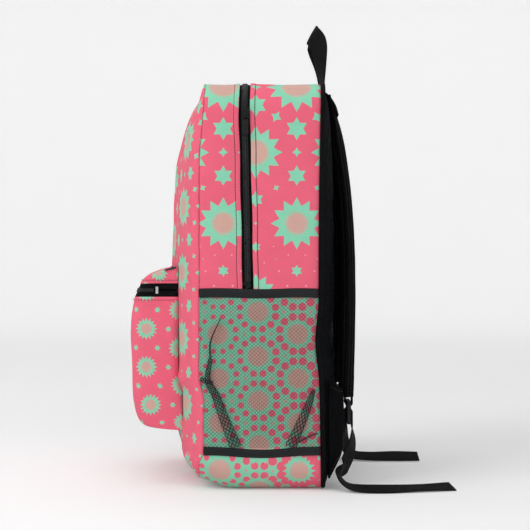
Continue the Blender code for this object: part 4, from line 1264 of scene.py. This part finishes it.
def build_strap(side, sign):
    """A padded shoulder strap: outer face, mesh liner, bound edges and the stitches beside them."""
    body = f"shoulder_strap_{side}"
    centre, half, thick, facing = strap_sections(sign)
    spread = np.sin(np.linspace(-math.pi / 2, math.pi / 2, 17))
    dent = 0.0012 * np.exp(-((np.abs(spread) - STRAP_STITCH) / 0.05) ** 2)
    lift = (thick[:, None] / 2 * strap_crown(spread) - dent + 0.0004)[:, :, None]
    uv = together(spread * half[:, None], run_along(centre)[:, None])
    for name, direction, look, nodes in (("face", 1.0, "back", (f"strap_face_{side}", f"strap_foam_{side}")),
                                         ("liner", -1.0, "spacer", (f"strap_liner_{side}",))):
        outward = facing[:, None] * direction
        grid = centre[:, None] + outward * lift
        grid[:, :, 0] += spread * (half[:, None] - 0.0008)
        wave = 0.0005 * ripple(grid, 0.03, 51 + sign) * (1 - np.abs(spread))
        inside = centre.mean(axis=0) - facing.mean(axis=0) * direction
        made = cloth(f"strap_{name}_{side}_cloth", grid + outward * wave[:, :, None], uv, look, inside,
                     0.0008, look)
        place(made, body, "black_fabric", *nodes)
    bits, lines = Bits(), []
    proud = (thick / 2 * strap_crown(STRAP_STITCH) - 0.0002)[:, None]
    for edge in (-1, 1):
        tube(bits, centre + together(edge * (half - 0.0012), 0.0, 0.0), facing, 0.0026, 0.0019, 10)
        for outward in (facing, -facing):
            lines.append((centre + outward * proud + together(edge * half * STRAP_STITCH, 0.0, 0.0), outward))
    place(bits.make(f"strap_binding_{side}", "binding"), body, "black_webbing")
    sew(f"strap_stitches_{side}", body, "black_fabric", lines, pitch=0.0036)
    build_root(side, sign)
    build_buckle(side, sign)


def build_root(side, sign):
    """The strap's sewn root: padded cloth from the bag's top seam over the head of the strap."""
    line = catmull(ROOT_LINE, 5)
    spread = np.sin(np.linspace(-math.pi / 2, math.pi / 2, 15))
    out = 0.0008 - 0.0035 * (1 - np.sqrt(1 - spread ** 4))
    grid = together(sign * STRAP_X + spread * 0.0325, line[:, :1] + out, line[:, 1:] + out * 0.5)
    body = f"shoulder_strap_{side}"
    x, y, _ = joint_place(body)
    bend = (body, (x, y, 0.4600), (x, y, 0.4400))
    inside = (sign * STRAP_X, 0.0, 0.43)
    place(cloth(f"strap_root_{side}", grid, arc_uv(grid, 0, 7), "back", inside, 0.0014, "back"), bend,
          "black_fabric")
    lines = [(grid[1:, column], (0, 0.8, 0.6)) for column in (1, -2)]
    sew(f"strap_root_stitches_{side}", bend, "black_fabric", lines)


# ---------------------------------------------------------------- webbing at the foot of a strap

# The adjuster webbing's line (y, z), from the wing up to the buckle.
ADJUSTER_LINE = [(0.0916, 0.1080), (0.0919, 0.0860), (0.0912, 0.0660), (0.0922, 0.0550),
                 (0.0952, 0.0520), (0.0976, 0.0570)]

# How far each loose tail leans where it lies on the floor, and the points that it passes.
TAILS = {
    "right": (0.19, [(0.102, 0.1070, 0.0520), (0.110, 0.1030, 0.0380), (0.122, 0.0960, 0.0260),
                     (0.137, 0.0905, 0.0175), (0.150, 0.1040, 0.0085), (0.154, 0.1350, 0.0068),
                     (0.146, 0.1800, 0.0070), (0.136, 0.2180, 0.0068)]),
    "left": (0.36, [(-0.098, 0.1080, 0.0480), (-0.096, 0.1090, 0.0260), (-0.091, 0.1170, 0.0100),
                    (-0.086, 0.1400, 0.0070), (-0.085, 0.1750, 0.0072), (-0.086, 0.2050, 0.0068)]),
}


def build_buckle(side, sign):
    """The webbing loops at the ladder lock, the adjuster from the wing and the loose tail."""
    off, bar, slot = 0.0040, 0.0040, 0.0070
    x, y = sign * 0.5 * (LOCK_LOW.x + LOCK_HIGH.x), 0.5 * (LOCK_LOW.y + LOCK_HIGH.y)
    front, back = y - off, y + off
    low_bar = LOCK_HIGH.z - 1.5 * bar - slot
    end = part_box(f"strap_end_loop_{side}")[1].z + 0.0030
    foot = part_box(f"adjuster_wrap_{side}")[0].z
    half_way = 0.5 * (foot + low_bar)

    def round_bar(z, deep):
        """Webbing round a bar at z. A negative depth takes it over the bar."""
        turn = np.linspace(0, math.pi, 11)
        return together(x, y - off * np.cos(turn), z - off * np.sin(turn) * deep)

    path = [(x, front, end + 0.004), (x, front, end), *round_bar(LOCK_HIGH.z - bar / 2, 0.92),
            (x, back, end), (x, back - 0.0015, end + 0.004)]
    made = ribbon(f"strap_end_webbing_{side}", path, (1, 0, 0))
    place(made, f"shoulder_strap_{side}", "black_webbing", f"strap_end_loop_{side}")
    path = [(x, front, foot), (x, front, half_way), *round_bar(low_bar, -0.94), (x, back, half_way),
            (x, back, foot)]
    made = ribbon(f"buckle_webbing_{side}", path, (1, 0, 0))
    place(made, f"ladder_lock_{side}", "black_webbing", f"adjuster_wrap_{side}")
    foot = foot - 0.0002
    line = catmull([*((x, *spot) for spot in ADJUSTER_LINE), (x, front, foot)], 6)
    twist = 0.45 * np.sin(np.linspace(0.0, math.pi, len(line)))
    made = ribbon(f"adjuster_{side}", line, together(np.cos(twist), -np.sin(twist), 0.0))
    place(made, "bag_body", "black_webbing", f"adjuster_webbing_{side}")
    build_tail(side, (x, back, foot))
    build_wing(side, sign)
    dress_node(f"ladder_lock_{side}", "plastic", 0.0007)


def build_tail(side, start):
    """The loose end of the webbing, which hangs from the buckle and runs out along the floor."""
    tilt, places = TAILS[side]
    line = catmull([start, *places], 12)
    laid = smooth((0.040 - line[:, 2]) / 0.034)
    line[:, 2] -= laid * (0.0056 - 0.012 * tilt)
    run = run_along(line)
    roll = 0.05 * np.sin(run / 0.016) * laid
    twist = 0.55 * np.sin(math.pi * np.clip((run - 0.004) / 0.075, 0.0, 1.0))
    made = ribbon(f"tail_{side}", line, together(np.cos(twist), -np.sin(twist), -(tilt + roll) * laid))
    place(made, f"strap_tail_{side}", "black_webbing", f"strap_tail_{side}")


def build_wing(side, sign):
    """The sewn triangle at the bag's lower corner that holds the adjuster webbing."""
    low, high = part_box("strap_wing_right")
    root = 0.1462
    share, across = np.linspace(0, 1, 21)[:, None], np.linspace(0, 1, 17)
    turn = np.sin(math.pi / 2 * np.minimum(1.0, share / 0.8))
    y = low.y + 0.0010 + (high.y - 0.0012 - low.y) * turn - 0.0012 * share
    y = y + 0.0022 * np.sin(math.pi * across) * share
    foot = 0.0140 + 0.0330 * share + 0.0060 * np.sin(math.pi * share)
    head = 0.1250 - 0.0120 * share - 0.0040 * np.sin(math.pi * share)
    grid = together(sign * (root + (low.x - root) * share), y, foot + (head - foot) * across)
    made = cloth(f"wing_{side}", grid, arc_uv(grid), "back", (0, 0, 0.07), 0.0024, "back")
    place(made, "bag_body", "black_fabric", f"strap_wing_{side}")
    up = np.array([sign * 0.45, 0.88, 0.0])
    rows = (grid[1:-1, 1], grid[1:-1, -2], grid[-2, 1:-1], grid[-7, 1:-1])
    lines = [(row + up * 0.0003, up) for row in rows]
    sew(f"wing_stitches_{side}", "bag_body", "black_fabric", lines, radius=0.00028)


# ---------------------------------------------------------------- handle

def build_handle():
    """A loop of webbing that stands up and twists, so that its top edge is almost upright."""
    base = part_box("carry_handle")[0].z + 0.0003
    turn = np.linspace(0, math.pi, 61)
    up = np.sin(turn) ** 0.8
    wave = 0.0014 * np.sin(6.0 * turn) * up
    path = together(-0.031 * np.cos(turn), 0.0748 - 0.0108 * up ** 3 + wave, base + 0.0735 * up)
    leans = np.interp(up, (0.0, 0.2, 0.3, 0.5, 0.65, 0.86, 1.0), (88.0, 79.0, 73.0, 60.0, 51.0, 42.0, 62.0))
    lean = np.radians(leans)[:, None]
    out = unit(together(-np.cos(turn), 0.0, 0.6 * up + 0.02))
    across = np.cos(lean) * (0, 1, 0) + np.sin(lean) * out
    made = ribbon("handle", path, across, 0.0250, "webbing", 0.0020, 11, 0.0008)
    place(made, "carry_handle", "black_webbing", "carry_handle")


# ---------------------------------------------------------------- inside

def inner_sheet(name, node, thick):
    """A flat pocket inside the bag, shaped on the CAD solid's box."""
    low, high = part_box(node)
    share, up = clustered(61, 1.6), np.linspace(0, 1, 40)[:, None]
    full = smooth((1 - np.abs(share)) / 0.10) * smooth(up / 0.08)
    grid = together(high.x * share, high.y + (low.y - high.y) * full, low.z + (high.z - low.z) * up)
    grid[:, :, 1] -= 0.0003 * (1 + ripple(grid, 0.05, 61))
    made = cloth(name, grid, arc_uv(grid), "lining", (0, 0.3, 0.2), thick)
    place(made, "bag_body", "lining", node)
    line = grid[-2] - (0.0, 0.0003, 0.006)
    sew(f"{name}_stitches", "bag_body", "lining", [(line, (0, -1, 0))], pitch=0.0036)


def build_inside():
    inner_sheet("laptop_sleeve_cloth", "laptop_sleeve", 0.0030)
    inner_sheet("slip_pocket_cloth", "inner_slip_pocket", 0.0010)
    low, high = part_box("back_panel_lining")
    x, z = np.linspace(low.x, high.x, 41), np.linspace(low.z, high.z, 50)[:, None]
    grid = together(x, back_seam(z) + 0.0006 + 0.0004 * np.sin(x * 90) * np.sin(z * 70), z)
    made = cloth("back_lining_cloth", grid, arc_uv(grid), "lining", (0, 0.3, 0.2), 0.0008)
    place(made, "bag_body", "lining", "back_panel_lining")
    line = catmull([(0, 0.0628, 0.3560), (0, 0.0590, 0.3400), (0, 0.0470, 0.3200), (0, 0.0425, 0.3040),
                    (0, 0.0419, 0.2760)], 8)
    place(ribbon("sleeve_closure", line, (1, 0, 0), thick=0.0013), "sleeve_strap", "black_webbing",
          "sleeve_closure_strap")
    dress_node("base_board", "board", 0.0005)


# ---------------------------------------------------------------- studio

# Name, place, what it lights, size and power of each soft light.
LIGHTS = (
    ("key", (1.5, -1.9, 1.9), (0, 0, 0.2), (1.6, 1.6), 33),
    ("fill", (2.6, 0.4, 1.3), (0, 0, 0.2), (2.4, 2.0), 20),
    ("overhead", (-0.2, -0.3, 2.6), (0, 0, 0), (2.4, 2.4), 20),
)


def area_light(name, spot, target, size, power):
    data = bpy.data.lights.new(name, "AREA")
    data.shape = "RECTANGLE"
    data.size, data.size_y = size
    data.energy = power
    made = bpy.data.objects.new(name, data)
    made.location = spot
    made.rotation_euler = (Vector(target) - Vector(spot)).to_track_quat("-Z", "Y").to_euler()
    bpy.context.scene.collection.objects.link(made)


def floor_material():
    """Pale and matt, with painted light: it glows to the camera only, more so far out, as a lit backdrop
    does.
    """
    graph = Graph("pale_floor", 0.7)
    spot = graph.place()
    pale = graph.mix(graph.noise(spot, 2.0), srgb(243, 243, 244), srgb(246, 246, 246))
    graph.surface("Base Color", pale)
    graph.surface("Specular IOR Level", 0.1)
    across, along, _ = graph.split(spot)
    # Painted light: emission seen only by the camera, stronger further out, stands in for light on the
    # backdrop.
    painted_backdrop_light = ramp((across * across + along * along).root(), [(0.6, 0.13), (3.4, 0.39)])
    graph.surface("Emission Strength", painted_backdrop_light * graph.node("LightPath").outputs["Is Camera Ray"])
    graph.surface("Emission Color", (1.0, 1.0, 1.0, 1.0))
    return graph.material


def build_floor():
    """A seamless bowl round the bag: a flat middle that bends up into a wall."""
    bend = [(3.0 + 1.2 * math.sin(a), 1.2 - 1.2 * math.cos(a)) for a in np.linspace(0, math.pi / 2, 13)]
    profile = np.array([(0.001, 0.0), (0.5, 0.0), (1.5, 0.0), *bend, (4.2, 5.0)])
    turn = np.arange(96) * (2 * math.pi / 96)
    verts = together(profile[:, :1] * np.cos(turn), profile[:, :1] * np.sin(turn), profile[:, 1:])
    faces = grid_faces(len(profile), len(turn), True)
    add_object("studio_floor", verts.reshape(-1, 3), faces, [floor_material()])


def build_studio():
    """A pale seamless bowl, soft light from the front left and the camera square to the right side."""
    build_floor()
    for light in LIGHTS:
        area_light(*light)
    world = bpy.data.worlds.new("studio")
    world.use_nodes = True
    world.node_tree.nodes["Background"].inputs[0].default_value = (1, 1, 1, 1)
    world.node_tree.nodes["Background"].inputs[1].default_value = 0.30
    bpy.context.scene.world = world
    camera = bpy.data.objects.new("camera", bpy.data.cameras.new("camera"))
    camera.data.lens = 89.3
    camera.data.sensor_width = 36.0
    camera.location = (1.63, 0.005, 0.255)
    camera.rotation_euler = (math.pi / 2, 0, math.pi / 2)
    bpy.context.scene.collection.objects.link(camera)
    bpy.context.scene.camera = camera
    bpy.context.scene.view_settings.view_transform = "Standard"


build_sides()
build_main_zip()
build_front_panel()
build_pocket()
for side_name, side_sign in SIDES:
    build_net(side_name, side_sign)
    build_strap(side_name, side_sign)
    dress_node(f"main_slider_{side_name}", "metal")
    dress_node(f"main_pull_{side_name}", "metal")
    dress_node(f"main_zip_stop_{side_name}", "metal", 0.0003)
    dress_node(f"pocket_zip_stop_{side_name}", "steel", 0.0003)
dress_node("pocket_slider", "metal")
dress_node("pocket_pull", "metal")
build_back()
build_handle()
build_inside()
build_studio()
